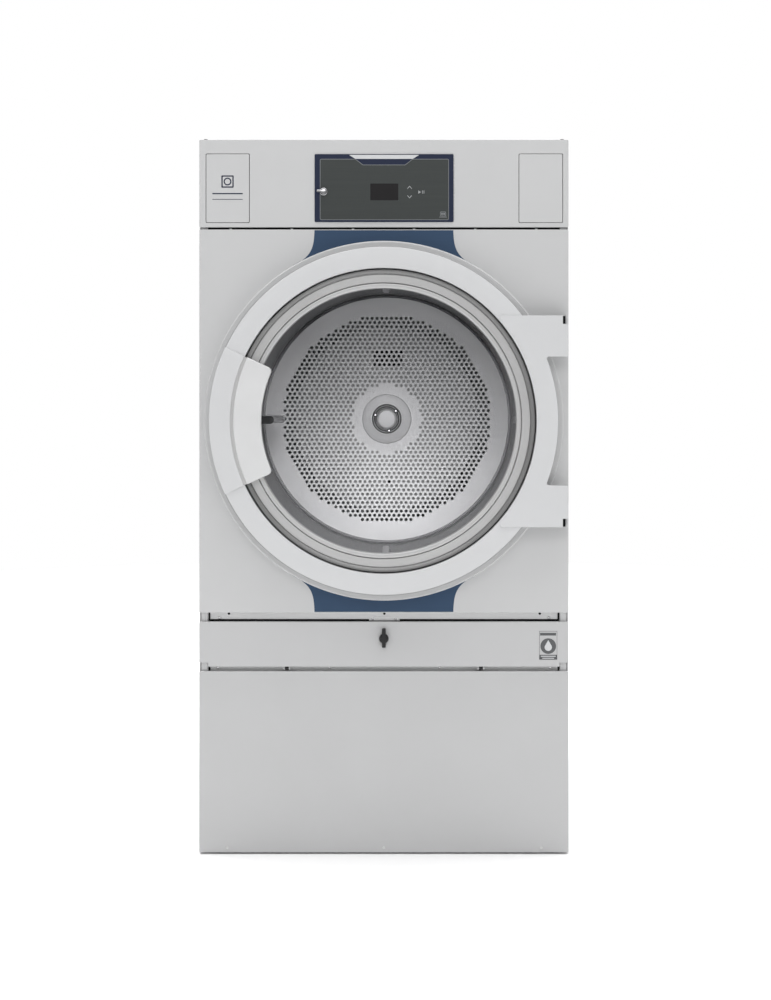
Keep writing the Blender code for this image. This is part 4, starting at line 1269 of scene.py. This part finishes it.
def build_studio():
    paper = Finish("studio_floor", (0.94, 0.94, 0.94), 0.85)
    paper.vary_colour(paper.noise(2.0, 2.0), 0.01)
    bm = new()
    bm.faces.new([bm.verts.new(p) for p in level(circle(6.5, 96, (0.0, 0.0)), -0.0005)])
    data = bpy.data.meshes.new("floor")
    bm.to_mesh(data)
    bm.free()
    data.materials.append(paper.material)
    floor = bpy.data.objects.new("floor", data)
    scene.collection.objects.link(floor)
    floor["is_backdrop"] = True

    # A white room behind the machine, and a softer one before it that darkens towards the ground.
    world = bpy.data.worlds.new("studio")
    world.use_nodes = True
    tree = world.node_tree
    ground = tree.nodes["Background"]

    def world_range(source, start, end, low, high):
        made = tree.nodes.new("ShaderNodeMapRange")
        made.interpolation_type = "SMOOTHSTEP"
        for key, value in (("From Min", start), ("From Max", end), ("To Min", low), ("To Max", high)):
            made.inputs[key].default_value = value
        tree.links.new(source, made.inputs["Value"])
        return made.outputs["Result"]

    parts = tree.nodes.new("ShaderNodeSeparateXYZ")
    tree.links.new(tree.nodes.new("ShaderNodeTexCoord").outputs["Generated"], parts.inputs["Vector"])
    mix = tree.nodes.new("ShaderNodeMix")
    tree.links.new(world_range(parts.outputs["Y"], -0.2, 0.3, 0.0, 1.0), mix.inputs["Factor"])
    tree.links.new(world_range(parts.outputs["Z"], -0.22, 0.3, *ROOM), mix.inputs["A"])
    mix.inputs["B"].default_value = 1.0
    ground.inputs["Color"].default_value = (1.0, 1.0, 1.0, 1.0)
    tree.links.new(mix.outputs["Result"], ground.inputs["Strength"])
    scene.world = world

    def area(name, place, target, size, power, spread, names=(), state="INCLUDE"):
        """A soft light on the whole scene, on the named pieces only, or on all but those."""
        lamp = bpy.data.lights.new(name, "AREA")
        lamp.shape = "RECTANGLE"
        lamp.size, lamp.size_y = size
        lamp.energy = power
        lamp.spread = math.radians(spread)
        made = bpy.data.objects.new(name, lamp)
        made.location = place
        made.rotation_euler = (Vector(target) - Vector(place)).to_track_quat("-Z", "Y").to_euler()
        scene.collection.objects.link(made)
        if names:
            chosen = bpy.data.collections.new(name)
            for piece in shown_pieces():
                if piece.name in names:
                    chosen.objects.link(piece)
            for entry in chosen.collection_objects:
                entry.light_linking.link_state = state
            made.light_linking.receiver_collection = chosen

    area("key", (-0.1, -4.6, 3.9), (0.0, 0.0, 1.05), (3.0, 1.6), KEY, 130)
    # The top sheet is nearest to the overhead light and would burn out, so the room alone lights it.
    top = ["cabinet_top"]
    area("overhead", (0.0, -0.1, 8.0), (0.0, -0.1, 0.0), (9.0, 7.0), TOP, 150, top, "EXCLUDE")
    back = ["drum_back_sheet", "baffle_plate", "hub_disc", "hub_screws"]
    back += ["lifter_left_rib", "lifter_bottom_rib"]
    area("drum_front", (0.0, -3.9, 1.25), (0.0, 0.37, AXIS), (2.0, 1.0), FRONTAL, 100, back)
    area("drum_fill", (0.0, -3.7, 2.35), (0.0, 0.37, 0.92), (2.2, 1.4), INNER, 100, back)
    walls = ["drum_shell_sheet", "drum_bead", "drum_rim_groove"]
    area("wall_fill", (0.0, -2.8, 1.75), (0.0, 0.3, 1.0), (3.6, 0.4), SIDE, 120, walls)

    camera = bpy.data.cameras.new("camera")
    camera.lens = 49.86
    camera.sensor_width = 36.0
    camera.shift_x = -0.0125
    camera.shift_y = -0.088
    camera.dof.use_dof = False
    viewer = bpy.data.objects.new("camera", camera)
    viewer.location = (0.0367, -4.13, 1.149)
    viewer.rotation_euler = (math.radians(90), 0.0, 0.0)
    scene.collection.objects.link(viewer)
    scene.camera = viewer
    scene.view_settings.view_transform = "Standard"


build_cabinet()
build_front()
build_fascia()
build_lid()
build_flap()
build_rails()
build_door()
build_drum()
build_screen()
finish_cad_nodes()
build_studio()
